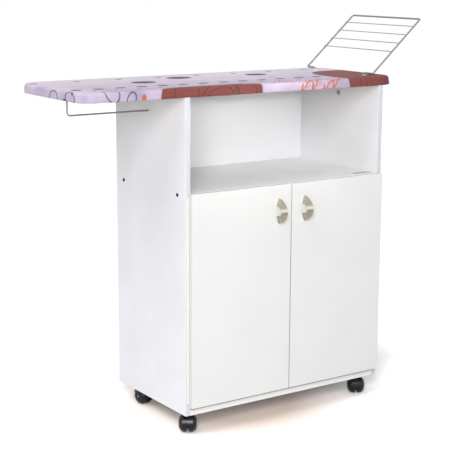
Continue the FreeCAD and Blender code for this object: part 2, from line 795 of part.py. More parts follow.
for side in SIDES:
    for leaf in ("case", "door"):
        blank = feature("%s_%s_leaf_blank" % (side, leaf), hinge_leaf(side, leaf))
        node(cut("%s_%s_leaf" % (side, leaf), blank, leaf_screw_holes[(side, leaf)]),
             "%s_hinge_%s_leaf" % (side, leaf))
        screws = leaf_screws("%s_%s_screw" % (side, leaf), NONE, side, leaf)
        node(group("%s_%s_screws" % (side, leaf), screws), "%s_hinge_%s_screws" % (side, leaf))
    node(rod(side + "_pin", (mirrored_x(side, "hinge_x"), "hinge_y", "door_bottom + hinge_end_margin"), "+Z",
             "hinge_pin_radius", "hinge_length"), side + "_hinge_pin")


# Bow handles: a crescent seen from the side, drawn to points like a lens from the front
def origin_plane(body, role):
    return [plane for plane in body.Origin.OriginFeatures if plane.Role == role][0]


def arc_through(half_chord, sagitta):
    """Centre distance, radius and half angle of an arc by its chord and its height."""
    radius = (half_chord ** 2 + sagitta ** 2) / (2 * sagitta)
    return radius - sagitta, radius, math.asin(min(1.0, half_chord / radius))


def crescent_body(side):
    """The handle's side view as a sketch, padded across its width."""
    body = doc.addObject("PartDesign::Body", side + "_handle_body")
    sketch = body.newObject("Sketcher::SketchObject", side + "_handle_sketch")
    sketch.AttachmentSupport = [(origin_plane(body, "YZ_Plane"), "")]
    sketch.MapMode = "FlatFace"
    outer_half = size("handle_height") / 2
    inner_half = size("finger_gap_height") / 2
    arcs = []
    bows = (
        (outer_half, size("handle_reach")),
        (inner_half, size("handle_reach") - size("bow_thickness")),
    )
    for half, depth in bows:
        back_off, radius, half_angle = arc_through(half, depth)
        if depth > half:
            half_angle = math.pi - half_angle
        centre = V(-depth + radius, 0, 0)
        arcs.append(Part.ArcOfCircle(Part.Circle(centre, V(0, 0, 1), radius),
                                     math.pi - half_angle, math.pi + half_angle))
    sketch.addGeometry(arcs[0], False)
    sketch.addGeometry(arcs[1], False)
    sketch.addGeometry(Part.LineSegment(V(0, outer_half, 0), V(0, inner_half, 0)), False)
    sketch.addGeometry(Part.LineSegment(V(0, -outer_half, 0), V(0, -inner_half, 0)), False)
    for line, arc_end in ((2, 1), (3, 2)):
        sketch.addConstraint(Sketcher.Constraint("Coincident", line, 1, 0, arc_end))
        sketch.addConstraint(Sketcher.Constraint("Coincident", line, 2, 1, arc_end))
        sketch.addConstraint(Sketcher.Constraint("PointOnObject", line, 1, -2))
        sketch.addConstraint(Sketcher.Constraint("PointOnObject", line, 2, -2))
    sketch.addConstraint(Sketcher.Constraint("Symmetric", 0, 1, 0, 2, -1))
    sketch.addConstraint(Sketcher.Constraint("Symmetric", 1, 1, 1, 2, -1))
    for arc, height, text in (
            (0, size("handle_height"), "handle_height"),
            (1, size("finger_gap_height"), "finger_gap_height")):
        index = sketch.addConstraint(Sketcher.Constraint("DistanceY", arc, 2, arc, 1, height))
        sketch.setExpression("Constraints[%d]" % index, linked(text))
    for arc, half, text in (
            (0, "handle_height / 2", "handle_reach"),
            (1, "finger_gap_height / 2", "(handle_reach - bow_thickness)")):
        formula = "((%s) * (%s) + %s * %s) / (2 * %s)" % (half, half, text, text, text)
        index = sketch.addConstraint(Sketcher.Constraint("Radius", arc, sketch.Geometry[arc].Radius))
        sketch.setExpression("Constraints[%d]" % index, linked(formula))
    pad = body.newObject("PartDesign::Pad", side + "_handle_pad")
    pad.Profile = sketch
    pad.setExpression("Length", linked("handle_width"))
    body.Tip = pad
    return body


for side in SIDES:
    centre_x = "width / 2 + handle_offset" if side == "right" else "width / 2 - handle_offset"
    body = crescent_body(side)
    move(body, (centre_x + " - handle_width / 2", "door_face", "handle_z"))
    lens_radius = "((handle_lens * handle_lens / 4 + handle_width * handle_width / 4) / handle_width)"
    shape = body
    for face, sign in (("west", "+"), ("east", "-")):
        lens = rod("%s_handle_%s" % (side, face),
                   ("%s %s (%s - handle_width / 2)" % (centre_x, sign, lens_radius),
                    "door_face - handle_reach - overrun", "handle_z"),
                   "+Y", lens_radius, "handle_reach + 2 * overrun")
        joined = doc.addObject("Part::Common", "%s_handle_%s_common" % (side, face))
        joined.Base = shape
        joined.Tool = lens
        shape = joined
    node(cut(side + "_handle_cut", shape, handle_screw_holes[side]), side + "_handle")
    node(group(side + "_handle_screw_group", handle_screws(side + "_handle_screw", NONE, side)),
         side + "_handle_screws")

# Magnetic catch under the shelf, with a strike plate on each door
node(box("catch", ("catch_length", "catch_depth", "catch_height"),
         ("(width - catch_length) / 2", "0 - door_gap + strike_thickness + catch_gap",
          "shelf_top - panel - catch_height")), "magnet_catch")
for side in SIDES:
    node(box(side + "_strike", ("strike_length", "strike_thickness", "catch_height"),
             (mirrored_x(side, "(width - door_middle_gap) / 2 - strike_length - catch_gap", "strike_length"),
              "door_back", "shelf_top - panel - catch_height")), side + "_strike_plate")


# Casters: a plate with its stem, and a hood, an axle and two wheels that swivel under it
def caster_plate(corner):
    x, y = stem_place(corner)
    plate = box(corner + "_plate_blank", ("plate_size", "plate_size", "plate_thickness"),
                (x + " - plate_size / 2", y + " - plate_size / 2", "caster_height - plate_thickness"))
    stem = rod(corner + "_stem", (x, y, "caster_height - plate_thickness"), "-Z", "stem_radius",
               "stem_length - plate_thickness")
    return fuse(corner + "_plate_stem", [plate, stem])


def turned(shape, corner):
    """Turn a caster piece about its stem and carry it to its corner."""
    x = size("caster_inset_x")
    y = size("caster_inset_y")
    if corner.endswith("right"):
        x = size("width") - x
    if corner.startswith("rear"):
        y = size("depth") - y
    shape = shape.copy()
    shape.rotate(V(0, 0, 0), V(0, 0, 1), CASTER_YAWS[corner])
    shape.translate(V(x, y, 0))
    return shape


def along_axle(radius, start, length):
    """A cylinder on the axle line, which lies behind the stem by the trail."""
    return Part.makeCylinder(
        radius, length, V(start, -size("caster_trail"), size("wheel_centre_z")), V(1, 0, 0))


def hood_shape():
    """An arched hood with a fin between the wheels and a neck round the stem."""
    half_width = size("fin_thickness") / 2 + size("fin_gap") + size("wheel_width") - size("hood_set_in")
    inner = size("wheel_radius") + size("hood_gap")
    outer = inner + size("hood_wall")
    arch = along_axle(outer, -half_width, 2 * half_width)
    fin = along_axle(outer, -size("fin_thickness") / 2, size("fin_thickness"))
    small_fin = along_axle(size("fin_radius"), -size("fin_thickness") / 2, size("fin_thickness"))
    reach = max(outer, size("caster_trail") + size("neck_radius")) + size("overrun")
    low_space = Part.makeBox(2 * reach, 2 * reach, 2 * reach, V(-reach, -reach, -2 * reach))
    low_space.rotate(V(0, 0, 0), V(1, 0, 0), size("hood_tilt"))
    low_space.translate(V(0, -size("caster_trail"), size("wheel_centre_z")))
    neck_top = size("caster_height") - size("plate_thickness") - size("seat_gap")
    neck_low = size("wheel_centre_z")
    neck = Part.makeCylinder(size("neck_radius"), neck_top - neck_low, V(0, 0, neck_low))
    wheel_space = along_axle(inner, -half_width - size("overrun"), 2 * (half_width + size("overrun")))
    hood = arch.fuse(neck).cut(wheel_space).fuse(fin).cut(low_space).fuse(small_fin)
    stem_hole = Part.makeCylinder(
        size("stem_radius") + size("running_clearance"), size("stem_length") + size("overrun"),
        V(0, 0, size("caster_height") - size("stem_length") - size("seat_gap")))
    axle_hole = along_axle(size("axle_radius") + size("hole_clearance"), -half_width, 2 * half_width)
    return hood.cut(stem_hole).cut(axle_hole).removeSplitter()


def axle_shape():
    length = size("fin_thickness") + 2 * size("fin_gap") + 2 * size("wheel_width") - 2 * size("hub_recess")
    return along_axle(size("axle_radius"), -length / 2, length)


def wheel_shape(hand):
    """One wheel with a flat tread, a round outer shoulder and a recessed hub."""
    inner = size("fin_thickness") / 2 + size("fin_gap")
    disc = along_axle(size("wheel_radius"), inner, size("wheel_width"))
    rim = [edge for edge in disc.Edges if len(edge.Vertexes) == 1
           and abs(edge.Vertexes[0].X - inner - size("wheel_width")) < SAME_PLACE]
    disc = disc.makeFillet(size("wheel_shoulder"), rim)
    recess = along_axle(size("hub_recess_radius"), inner + size("wheel_width") - size("hub_recess"),
                        size("hub_recess") + size("overrun"))
    bore = along_axle(size("axle_radius") + size("running_clearance"), inner - size("overrun"),
                      size("wheel_width") + 2 * size("overrun"))
    wheel = disc.cut(recess).cut(bore)
    if hand == "left":
        wheel = wheel.mirror(V(0, 0, 0), V(1, 0, 0))
    return wheel


plates = group("caster_plate_blanks", [caster_plate(corner) for corner in CORNERS])
node(cut("CasterPlates", plates, plate_screw_holes), "caster_plates")
for corner in CORNERS:
    node(feature(corner + "_hood", turned(hood_shape(), corner)), corner + "_caster_hood")
    node(feature(corner + "_axle", turned(axle_shape(), corner)), corner + "_caster_axle")
    for hand in ("left", "right"):
        node(feature("%s_%s_wheel" % (corner, hand), turned(wheel_shape(hand), corner)),
             "%s_caster_%s_wheel" % (corner, hand))

doc.recompute()


def check_and_write():
    """Stop if any object failed, else write one file for each node."""
    for thing in doc.Objects:
        if {"Invalid", "Error"} & set(thing.State):
            raise RuntimeError("%s failed: %s" % (thing.Name, thing.State))
    for thing in NODES:
        if thing.Shape.isNull() or not thing.Shape.isValid() or not thing.Shape.Solids:
            raise RuntimeError("%s has no valid solid" % thing.Label)
    os.makedirs("parts", exist_ok=True)
    for thing in NODES:
        thing.Shape.exportStep(os.path.join("parts", thing.Label + ".step"))
        print("%-34s solids %2d  volume %10.0f" % (thing.Label, len(thing.Shape.Solids), thing.Shape.Volume))
    print("nodes", len(NODES))


check_and_write()
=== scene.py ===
"""Ironing board cabinet: finishes, eased boards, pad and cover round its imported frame."""

import logging
import math
from collections.abc import Mapping, Sequence
from dataclasses import dataclass, field
from enum import Enum
from typing import Optional, Union

import bmesh
import bpy
from mathutils import Matrix, Vector, noise


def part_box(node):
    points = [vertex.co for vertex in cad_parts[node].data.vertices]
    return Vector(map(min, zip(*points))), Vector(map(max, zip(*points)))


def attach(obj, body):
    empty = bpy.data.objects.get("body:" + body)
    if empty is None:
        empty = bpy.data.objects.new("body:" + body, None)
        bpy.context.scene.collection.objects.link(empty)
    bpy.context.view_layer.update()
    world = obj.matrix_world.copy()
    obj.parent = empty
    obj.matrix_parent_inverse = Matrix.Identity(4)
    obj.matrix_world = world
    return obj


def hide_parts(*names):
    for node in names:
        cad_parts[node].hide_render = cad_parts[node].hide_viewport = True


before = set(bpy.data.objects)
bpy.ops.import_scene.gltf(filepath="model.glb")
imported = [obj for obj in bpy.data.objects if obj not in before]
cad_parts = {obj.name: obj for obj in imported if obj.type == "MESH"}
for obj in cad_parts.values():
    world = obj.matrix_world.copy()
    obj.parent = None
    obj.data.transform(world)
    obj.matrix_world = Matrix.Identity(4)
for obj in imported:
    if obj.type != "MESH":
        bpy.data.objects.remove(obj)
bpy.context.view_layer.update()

LOG = logging.getLogger("ironing_board_cabinet")
MM = 0.001
NOISE_LOW, NOISE_HIGH = 0.3, 0.7
ONE_WAVE = 0.1 * math.pi  # The scale at which a wave texture has one wave to a unit.
WHITE = "FFFFFF"
Colour = tuple[float, float, float, float]
Pair = tuple[float, float]
Shape = bmesh.types.BMesh
Material = bpy.types.Material
Tree = bpy.types.NodeTree
Node = bpy.types.Node
Socket = bpy.types.NodeSocket
Link = Union[float, Sequence[float], Socket]
Inputs = Union[Sequence[Link], Mapping[Union[str, int], Link]]


def linear(code: str) -> Colour:
    """Turn an sRGB hex colour into linear red, green, blue and alpha.

    Args:
        code: Six hex digits.

    Returns:
        The linear colour with an alpha of 1.
    """
    channels = [int(code[start:start + 2], 16) / 255 for start in (0, 2, 4)]
    toe, slope, offset, gain, power = 0.04045, 12.92, 0.055, 1.055, 2.4
    values = [c / slope if c <= toe else ((c + offset) / gain) ** power for c in channels]
    return (values[0], values[1], values[2], 1.0)


def shares(steps: int) -> list[float]:
    """Give the share of the way that each step reaches, up to 1."""
    return [step / steps for step in range(1, steps + 1)]


def empty_tree(owner: Union[Material, bpy.types.World]) -> Tree:
    """Turn on the nodes of a material or the sky.

    Args:
        owner: The material or the world.

    Returns:
        Its node tree, emptied.
    """
    owner.use_nodes = True
    owner.node_tree.nodes.clear()
    return owner.node_tree


def stand(name: str, data: bpy.types.ID) -> bpy.types.Object:
    """Put an object into the scene.

    Args:
        name: The object's name.
        data: Its mesh, camera or lamp.

    Returns:
        The new object.
    """
    holder = bpy.data.objects.new(name, data)
    bpy.context.scene.collection.objects.link(holder)
    return holder


def add(
    tree: Tree, kind: str, inputs: Inputs = (), out: Optional[str] = None, **settings: object
) -> Optional[Socket]:
    """Add a node to a material with its settings, values and links.

    Args:
        tree: The node tree that takes the node.
        kind: The node's type name, without its leading ShaderNode.
        inputs: Values or sockets for its inputs, in their order or by name or number.
        out: The name of the output to return, or none for the first one in use.
        **settings: The node's own properties.

    Returns:
        One of the new node's outputs, or none where it has none.
    """
    node = tree.nodes.new("ShaderNode" + kind)
    for name, value in settings.items():
        setattr(node, name, value)
    for name, value in inputs.items() if isinstance(inputs, Mapping) else enumerate(inputs):
        if isinstance(value, Socket):
            tree.links.new(value, node.inputs[name])
        else:
            node.inputs[name].default_value = value
    if out:
        return node.outputs[out]
    return next((socket for socket in node.outputs if socket.enabled), None)


class Axis(Enum):
    """The axis that a board's thickness or a grain lies along."""

    X = "X"
    Y = "Y"
    Z = "Z"


@dataclass(frozen=True)
class Grain:
    """A noise that makes a finish uneven. Lengths are in millimetres.

    Attributes:
        size: The size of its specks.
        detail: How many finer layers it has.
        colour: The specks' colour as sRGB hex, or none.
        share: How much of that colour shows.
        gloss: How far the roughness goes down and up with it.
        depth: The height of its relief.
        coarse: How strong its finer layers are.
        along: The axis that it is drawn out along, or none.
        stretch: Its steps for a millimetre along that axis.
    """

    size: float
    detail: float
    colour: str = ""
    share: float = 1.0
    gloss: Pair = (0.0, 0.0)
    depth: float = 0.0
    coarse: float = 0.5
    along: Optional[Axis] = None
    stretch: float = 0.0


@dataclass(frozen=True)
class Finish:
    """A surface finish that builds its own material.

    Attributes:
        name: The material's name, after what the real surface is.
        colour: The main colour as sRGB hex.
        roughness: The mean roughness.
    """

    name: str
    colour: str
    roughness: float

    def build(self) -> Material:
        """Make the material.

        Returns:
            A material with a Principled shader dressed by this finish.
        """
        material = bpy.data.materials.new(self.name)
        tree = empty_tree(material)
        surface = add(tree, "BsdfPrincipled", {
            "Base Color": linear(self.colour), "Roughness": self.roughness, **self.sockets()})
        add(tree, "OutputMaterial", {"Surface": surface})
        self.dress(surface.node)
        return material

    def sockets(self) -> Mapping[str, float]:
        """Give the values of the shader's other sockets."""
        return {}

    def grains(self) -> Sequence[Grain]:
        """Give the noises that make the finish uneven."""
        return ()

    def place(self, tree: Tree) -> Socket:
        """Give the surface's own coordinates in millimetres."""
        source = add(tree, "TexCoord", out="Object")
        return add(tree, "Mapping", {"Vector": source, "Scale": (1 / MM,) * 3})

    def dress(self, shader: Node) -> None:
        """Add what makes this finish more than one colour.

        Args:
            shader: The material's shader.
        """
        tree = shader.id_data
        for grain in self.grains():
            place, scale = self.place(tree), 1 / grain.size
            if grain.along:
                drawn = [grain.stretch if axis == grain.along else scale for axis in Axis]
                place, scale = add(tree, "Mapping", {"Vector": place, "Scale": drawn}), 1.0
            height = add(tree, "TexNoise", {
                "Vector": place, "Scale": scale, "Detail": grain.detail,
                "Roughness": grain.coarse})
            if grain.colour:
                self.cover(shader, self.spread(height, 0.0, grain.share), grain.colour)
            if any(grain.gloss):
                low, high = (self.roughness + change for change in grain.gloss)
                tree.links.new(self.spread(height, low, high), shader.inputs["Roughness"])
            if grain.depth:
                self.relief(shader, height, grain.depth)

    @staticmethod
    def cover(shader: Node, mask: Socket, colour: str) -> None:
        """Lay a colour over those that the shader has.

        Args:
            shader: The material's shader.
            mask: How much of the colour shows.
            colour: The colour as sRGB hex.
        """
        base = shader.inputs["Base Color"]
        under = base.links[0].from_socket if base.is_linked else base.default_value[:]
        mixed = add(shader.id_data, "MixRGB", (mask, under, linear(colour)))
        shader.id_data.links.new(mixed, base)

    @staticmethod
    def relief(shader: Node, height: Socket, depth: float) -> None:
        """Give the shader a bump of a real depth.

        Args:
            shader: The shader that takes the normal.
            height: A height from 0 to 1.
            depth: The depth in millimetres that a height of 1 stands for.
        """
        bump = add(shader.id_data, "Bump", {
            "Height": height, "Distance": depth * MM, "Strength": 1.0})
        shader.id_data.links.new(bump, shader.inputs["Normal"])

    @staticmethod
    def spread(factor: Socket, low: float, high: float) -> Socket:
        """Carry the middle of a noise to the range from low to high."""
        return add(factor.id_data, "MapRange", (factor, NOISE_LOW, NOISE_HIGH, low, high))


@dataclass(frozen=True)
class Melamine(Finish):
    """White melamine paper pressed on chipboard, with a glued plastic edge band.

    It gives the eye a clean satin white with a very fine pearl grain, and bands that are a
    touch glossier than the faces and of another white.
    """

    across: Axis = Axis.X
    band_colour: str = "D7D8DD"
    band_gloss: float = 0.8
    cloud_colour: str = "E7E7E9"

    def grains(self) -> Sequence[Grain]:
        """Give the pearl grain and a faint unevenness."""
        return (Grain(1.6, 2.0, gloss=(-0.03, 0.03), depth=0.012),
                Grain(140.0, 3.0, self.cloud_colour))

    def dress(self, shader: Node) -> None:
        """Add the grains and the edge band.

        Args:
            shader: The material's shader.
        """
        super().dress(shader)
        tree, rough = shader.id_data, shader.inputs["Roughness"]
        normal = add(tree, "TexCoord", out="Normal")
        across = add(tree, "SeparateXYZ", (normal,), self.across.value)
        facing = add(tree, "Math", (across,), operation="ABSOLUTE")
        band = add(tree, "Math", (facing, 0.5), operation="LESS_THAN")
        self.cover(shader, band, self.band_colour)
        gloss = add(tree, "Math", (
            band, self.roughness * (self.band_gloss - 1), rough.links[0].from_socket),
            operation="MULTIPLY_ADD")
        tree.links.new(gloss, rough)


@dataclass(frozen=True)
class Hardboard(Finish):
    """Pressed hardboard: bare brown with a screen texture on its back, white on its face."""

    face_colour: str = WHITE
    face_roughness: float = 0.4
    screen_mm: float = 3.0
    screen_sway: float = 0.3
    screen_depth: float = 0.12

    def grains(self) -> Sequence[Grain]:
        """Give the dark fibres and the warmer patches of the bare back."""
        return Grain(4.0, 6.0, "6E5036"), Grain(90.0, 2.0, "9C7B57", 0.4)

    def dress(self, shader: Node) -> None:
        """Add the fibres and the screen, and the white face over them.

        Args:
            shader: The material's shader.
        """
        super().dress(shader)
        tree, place = shader.id_data, self.place(shader.id_data)
        backward = add(tree, "SeparateXYZ", (add(tree, "TexCoord", out="Normal"),), "Y")
        height = bare = add(tree, "Math", (backward, 0.5), operation="GREATER_THAN")
        face = add(tree, "Math", (1.0, bare), operation="SUBTRACT")
        self.cover(shader, face, self.face_colour)
        rough = add(tree, "MapRange", (face, 0.0, 1.0, self.roughness, self.face_roughness))
        tree.links.new(rough, shader.inputs["Roughness"])
        for direction in ("X", "Z"):
            wires = add(tree, "TexWave", {
                "Vector": place, "Scale": ONE_WAVE / self.screen_mm,
                "Distortion": self.screen_sway}, "Fac", bands_direction=direction)
            height = add(tree, "Math", (wires, height), operation="MULTIPLY")
        self.relief(shader, height, self.screen_depth)


@dataclass(frozen=True)
class Chipboard(Finish):
    """Unfaced chipboard: pressed wood chips of mixed tan and brown, open and matt."""

    chip_mm: float = 4.5
    chip_colour: str = "8B6A45"

    def grains(self) -> Sequence[Grain]:
        """Give the dust between the chips."""
        return (Grain(1.2, 3.0, "D8BC8E", 0.5, depth=0.25),)

    def dress(self, shader: Node) -> None:
        """Add the chips, and the dust over them.

        Args:
            shader: The material's shader.
        """
        tree = shader.id_data
        chips = add(tree, "TexVoronoi", {
            "Vector": self.place(tree), "Scale": 1 / self.chip_mm, "Randomness": 1.0}, "Color")
        self.cover(shader, add(tree, "SeparateXYZ", (chips,)), self.chip_colour)
        super().dress(shader)


@dataclass(frozen=True)
class Felt(Finish):
    """Needled felt: matted short fibres, soft and without shine."""

    def sockets(self) -> Mapping[str, float]:
        """Give the soft sheen."""
        return {"Sheen Weight": 0.3}

    def grains(self) -> Sequence[Grain]:
        """Give the matted fibres."""
        return (Grain(1.4, 8.0, "BDB9AE", depth=0.5, coarse=0.7),)


@dataclass(frozen=True)
class Motif:
    """One printed motif in the cloth's own flat coordinates, in millimetres.

    Attributes:
        colour: The ink as sRGB hex.
        centre: Its place along and across the board.
        half_size: Half its length and half its width.
        turn: Its turn in degrees.
        pitch: How far apart it repeats along the board, or 0 where it stands alone.
        line: The width of its outline, or 0 where it is filled.
        leaf: Whether it is pointed like a leaf and not round.
        power: How square its round form is, where 2 is an ellipse.
    """

    colour: str
    centre: Pair
    half_size: Pair
    turn: float = 0.0
    pitch: float = 0.0
    line: float = 0.0
    leaf: bool = False
    power: float = 2.0


PLUM, BRICK, DEEP_RED = "4D2C4A", "7E3D36", "4A2226"
PEACH, ORANGE, GREY_LINE = "D89684", "C4694E", "5E4F69"


def heading(angle: float) -> Vector:
    """Give the unit vector at an angle in degrees on the flat cloth."""
    return Vector((math.cos(math.radians(angle)), math.sin(math.radians(angle))))


def sprig(centre: Pair, turn: float, leaves: int, length: float) -> list[Motif]:
    """Lay out a sprig of peach leaves on a thin stem.

    Args:
        centre: The foot of the stem along and across the board, in millimetres.
        turn: The stem's direction in degrees.
        leaves: How many leaves it has.
        length: The stem's length in millimetres.

    Returns:
        The stem and its leaves as motifs.
    """
    half_stem, leaf_share, slim_share, splay, foot_share = 1.3, 0.42, 0.05, 27.0, 0.5
    along = heading(turn)
    middle = (centre[0] + along.x * length / 2, centre[1] + along.y * length / 2)
    parts = [Motif(DEEP_RED, middle, (length / 2, half_stem), turn, leaf=True)]
    half_size = (length * leaf_share / 2, length * slim_share)
    for index in range(leaves):
        reach = length * (index + 1) / (leaves + foot_share)
        angle = turn + (-splay if index % 2 else splay)
        out = heading(angle) * half_size[0]
        at = (centre[0] + along.x * reach + out.x, centre[1] + along.y * reach + out.y)
        parts.append(Motif(PEACH if index % 3 else ORANGE, at, half_size, angle, leaf=True))
    return parts


@dataclass(frozen=True)
class PrintedCotton(Finish):
    """Plain-woven cotton in lilac with a printed pattern, over felt.

    It gives the eye a matt cloth with a fine even weave, flat inks with slightly soft edges, and
    painted light: the top is painted paler towards its rear and its left tip, as light falls on
    it, while the drop round it keeps its colour. The threads are drawn about three times as coarse
    as they are, so that they show.
    """

    thread_mm: float = 1.1
    thread_light: float = 0.10
    thread_height: float = 0.14
    relief_mm: float = 0.8
    feather_mm: float = 0.7
    painted_light_colour: str = "F1E8F4"
    pink_colour: str = "CDBBCF"
    lit_top_half: Pair = (485.0, 175.0)
    lit_top_corner: float = 52.0
    lit_top_rim: Pair = (10.0, -8.0)
    lit_top_ragged: float = 12.0
    front_light_share: float = 0.1
    rear_start: float = 0.6
    tip_start: float = 0.7
    ground_painted_light: float = 0.68
    ink_painted_light: float = 0.05
    patch_mm: float = 55.0
    crease_mm: float = 38.0
    motifs: tuple[Motif, ...] = ()

    def sockets(self) -> Mapping[str, float]:
        """Give the cotton's faint sheen."""
        return {"Sheen Weight": 0.06, "Sheen Roughness": 0.5, "Specular IOR Level": 0.12}

    def grains(self) -> Sequence[Grain]:
        """Give the pinker patches of the ground."""
        return (Grain(70.0, 2.0, self.pink_colour),)

    def place(self, tree: Tree) -> Socket:
        """Give the cloth's flat coordinates in millimetres."""
        cloth = add(tree, "UVMap", uv_map="cloth")
        return add(tree, "Mapping", {"Vector": cloth, "Scale": (1 / MM,) * 3})

    def dress(self, shader: Node) -> None:
        """Add the ground, the painted light on the top, the motifs, the weave and the creases.

        Args:
            shader: The material's shader.
        """
        super().dress(shader)
        tree, flat = shader.id_data, self.place(shader.id_data)
        painted_top_light = self.painted_top_light(tree, flat)
        warp, weft = (add(tree, "TexWave", {
            "Vector": flat, "Scale": ONE_WAVE / self.thread_mm}, "Fac",
            bands_direction=direction) for direction in ("X", "Y"))
        weave = add(tree, "Math", (warp, weft), operation="MULTIPLY")
        ground_painted_light, ink_painted_light, light = (
            add(tree, "Math", (source, amount), operation="MULTIPLY")
            for source, amount in (
                (painted_top_light, self.ground_painted_light), (painted_top_light, self.ink_painted_light), (weave, self.thread_light)))
        # Painted light: the top is painted paler, under the inks and over them.
        self.cover(shader, ground_painted_light, self.painted_light_colour)
        for motif in self.motifs:
            self.cover(shader, self.mask(tree, flat, motif), motif.colour)
        self.cover(shader, ink_painted_light, self.painted_light_colour)
        self.cover(shader, light, WHITE)
        creases = add(tree, "TexNoise", {
            "Vector": flat, "Scale": 1 / self.crease_mm, "Detail": 2.0})
        deep = add(tree, "Math", (weave, self.thread_height, creases), operation="MULTIPLY_ADD")
        self.relief(shader, deep, self.relief_mm)

    def painted_top_light(self, tree: Tree, flat: Socket) -> Socket:
        """Work out where light is painted on the top of the cloth.

        Args:
            tree: The material's tree.
            flat: The cloth's flat coordinates in millimetres.

        Returns:
            A socket that is 0 on the cloth that hangs round the board, and on the top rises from
            the front edge to 1 at the rear and at the left tip, as the share of painted light.
        """
        (half_x, half_y), corner = self.lit_top_half, self.lit_top_corner
        outer, inner = (corner + rim for rim in self.lit_top_rim)
        size = add(tree, "VectorMath", (flat,), operation="ABSOLUTE")
        past = add(tree, "VectorMath", (
            size, (half_x - corner, half_y - corner, 0.0)), operation="SUBTRACT")
        held = add(tree, "VectorMath", (past, (0.0, 0.0, 0.0)), operation="MAXIMUM")
        reach = add(tree, "VectorMath", (held,), "Value", operation="LENGTH")
        patches = add(tree, "TexNoise", {
            "Vector": flat, "Scale": 1 / self.patch_mm, "Detail": 2.0})
        ragged = add(tree, "Math", (patches, self.lit_top_ragged, reach), operation="MULTIPLY_ADD")
        top = add(tree, "MapRange", (
            ragged, outer, inner, 0.0, 1.0), interpolation_type="SMOOTHSTEP")
        across = add(tree, "SeparateXYZ", (flat,)).node.outputs
        rear = add(tree, "MapRange", (
            across["Y"], -half_y, self.rear_start * half_y, self.front_light_share, 1.0))
        tip = add(tree, "MapRange", (
            across["X"], -self.tip_start * half_x, -half_x, 0.0, 1.0))
        lit_share = add(tree, "Math", (rear, tip), operation="MAXIMUM")
        return add(tree, "Math", (top, lit_share), operation="MULTIPLY")

    def mask(self, tree: Tree, flat: Socket, motif: Motif) -> Socket:
        """Work out where one motif's ink lies.

        Args:
            tree: The material's tree.
            flat: The cloth's flat coordinates in millimetres.
            motif: The motif.

        Returns:
            A socket that is 1 on the ink and 0 off it.
        """
        where = add(tree, "VectorMath", (flat, (*motif.centre, 0.0)), operation="SUBTRACT")
        if motif.pitch:
            apart, half = add(tree, "SeparateXYZ", (where,)).node.outputs, motif.pitch / 2
            back = add(tree, "Math", (apart["X"], half, -half), operation="WRAP")
            where = add(tree, "CombineXYZ", (back, apart["Y"]))
        turned = add(tree, "VectorRotate", {
            "Vector": where, "Angle": -math.radians(motif.turn)}, rotation_type="Z_AXIS")
        sized = add(tree, "VectorMath", (
            turned, (1 / motif.half_size[0], 1 / motif.half_size[1], 0.0)),
            operation="MULTIPLY")
        size = add(tree, "VectorMath", (sized,), operation="ABSOLUTE")
        parts = add(tree, "SeparateXYZ", (size,)).node.outputs
        bend = 1.0 if motif.leaf else motif.power
        along = add(tree, "Math", (parts["X"], motif.power), operation="POWER")
        across = add(tree, "Math", (parts["Y"], bend), operation="POWER")
        reach = add(tree, "Math", (along, across), operation="ADD")
        level = add(tree, "Math", (reach, 1 / bend), operation="POWER")
        soft = self.feather_mm / min(motif.half_size)
        start, end = 1.0 + soft, 1.0 - soft
        if motif.line:
            off = add(tree, "Math", (level, 1.0), operation="SUBTRACT")
            level = add(tree, "Math", (off,), operation="ABSOLUTE")
            end = motif.line / 2 / min(motif.half_size)
            start = end + soft
        return add(tree, "MapRange", (
            level, start, end, 0.0, 1.0), interpolation_type="SMOOTHSTEP")


@dataclass(frozen=True)
class Plating(Finish):
    """Plated metal, from bright chrome to satin nickel.

    It gives the eye a mirror broken by faint waviness on the bright kinds and by fine
    brushing along one direction on the satin kinds.
    """

    haze_mm: float = 6.0
    haze: float = 0.04
    brush_mm: float = 0.0
    lacquer: float = 0.0

    def sockets(self) -> Mapping[str, float]:
        """Give the metal and its clear lacquer."""
        return {"Metallic": 1.0, "Coat Weight": self.lacquer, "Coat Roughness": 0.12}

    def grains(self) -> Sequence[Grain]:
        """Give the haze and the brushing."""
        haze = Grain(self.haze_mm, 3.0, "4A4744", 0.12, gloss=(-self.haze, self.haze))
        if not self.brush_mm:
            return (haze,)
        return haze, Grain(self.brush_mm, 2.0, depth=0.01, along=Axis.Z, stretch=0.02)


@dataclass(frozen=True)
class NickelWithPaintedHighlight(Plating):
    """Satin nickel on a bow handle, with a painted highlight near the top of the bow and painted
    shade below it.

    Its heights are in millimetres above the floor.
    """

    grip_height: float = 567.5
    highlight_above: float = 5.0
    highlight_half: float = 7.5
    highlight_core: float = 0.5
    highlight_colour: str = "F6F2E4"
    highlight_share: float = 0.85
    painted_shade_colour: str = "8C735C"
    painted_shade_start: float = 1.0
    painted_shade_depth: float = 10.0
    painted_shade_shares: Pair = (0.25, 0.6)

    def dress(self, shader: Node) -> None:
        """Add the painted highlight near the top of the bow and the painted shade below it to the
        plating.

        Args:
            shader: The material's shader.
        """
        super().dress(shader)
        tree = shader.id_data
        height = add(tree, "SeparateXYZ", (self.place(tree),), "Z")
        off = add(tree, "Math", (height, self.grip_height + self.highlight_above), operation="SUBTRACT")
        size = add(tree, "Math", (off,), operation="ABSOLUTE")
        bright = add(tree, "MapRange", (
            size, self.highlight_half, self.highlight_core, 0.0, self.highlight_share),
            interpolation_type="SMOOTHSTEP")
        edge = self.grip_height - self.painted_shade_start
        low_share, high_share = self.painted_shade_shares
        below = add(tree, "MapRange", (
            height, self.grip_height - self.painted_shade_depth, edge, low_share, high_share),
            interpolation_type="SMOOTHSTEP")
        under = add(tree, "Math", (height, edge), operation="LESS_THAN")
        amount = add(tree, "Math", (below, under), operation="MULTIPLY")
        # Painted shade below the top of the bow, then a painted highlight near it.
        self.cover(shader, amount, self.painted_shade_colour)
        self.cover(shader, bright, self.highlight_colour)


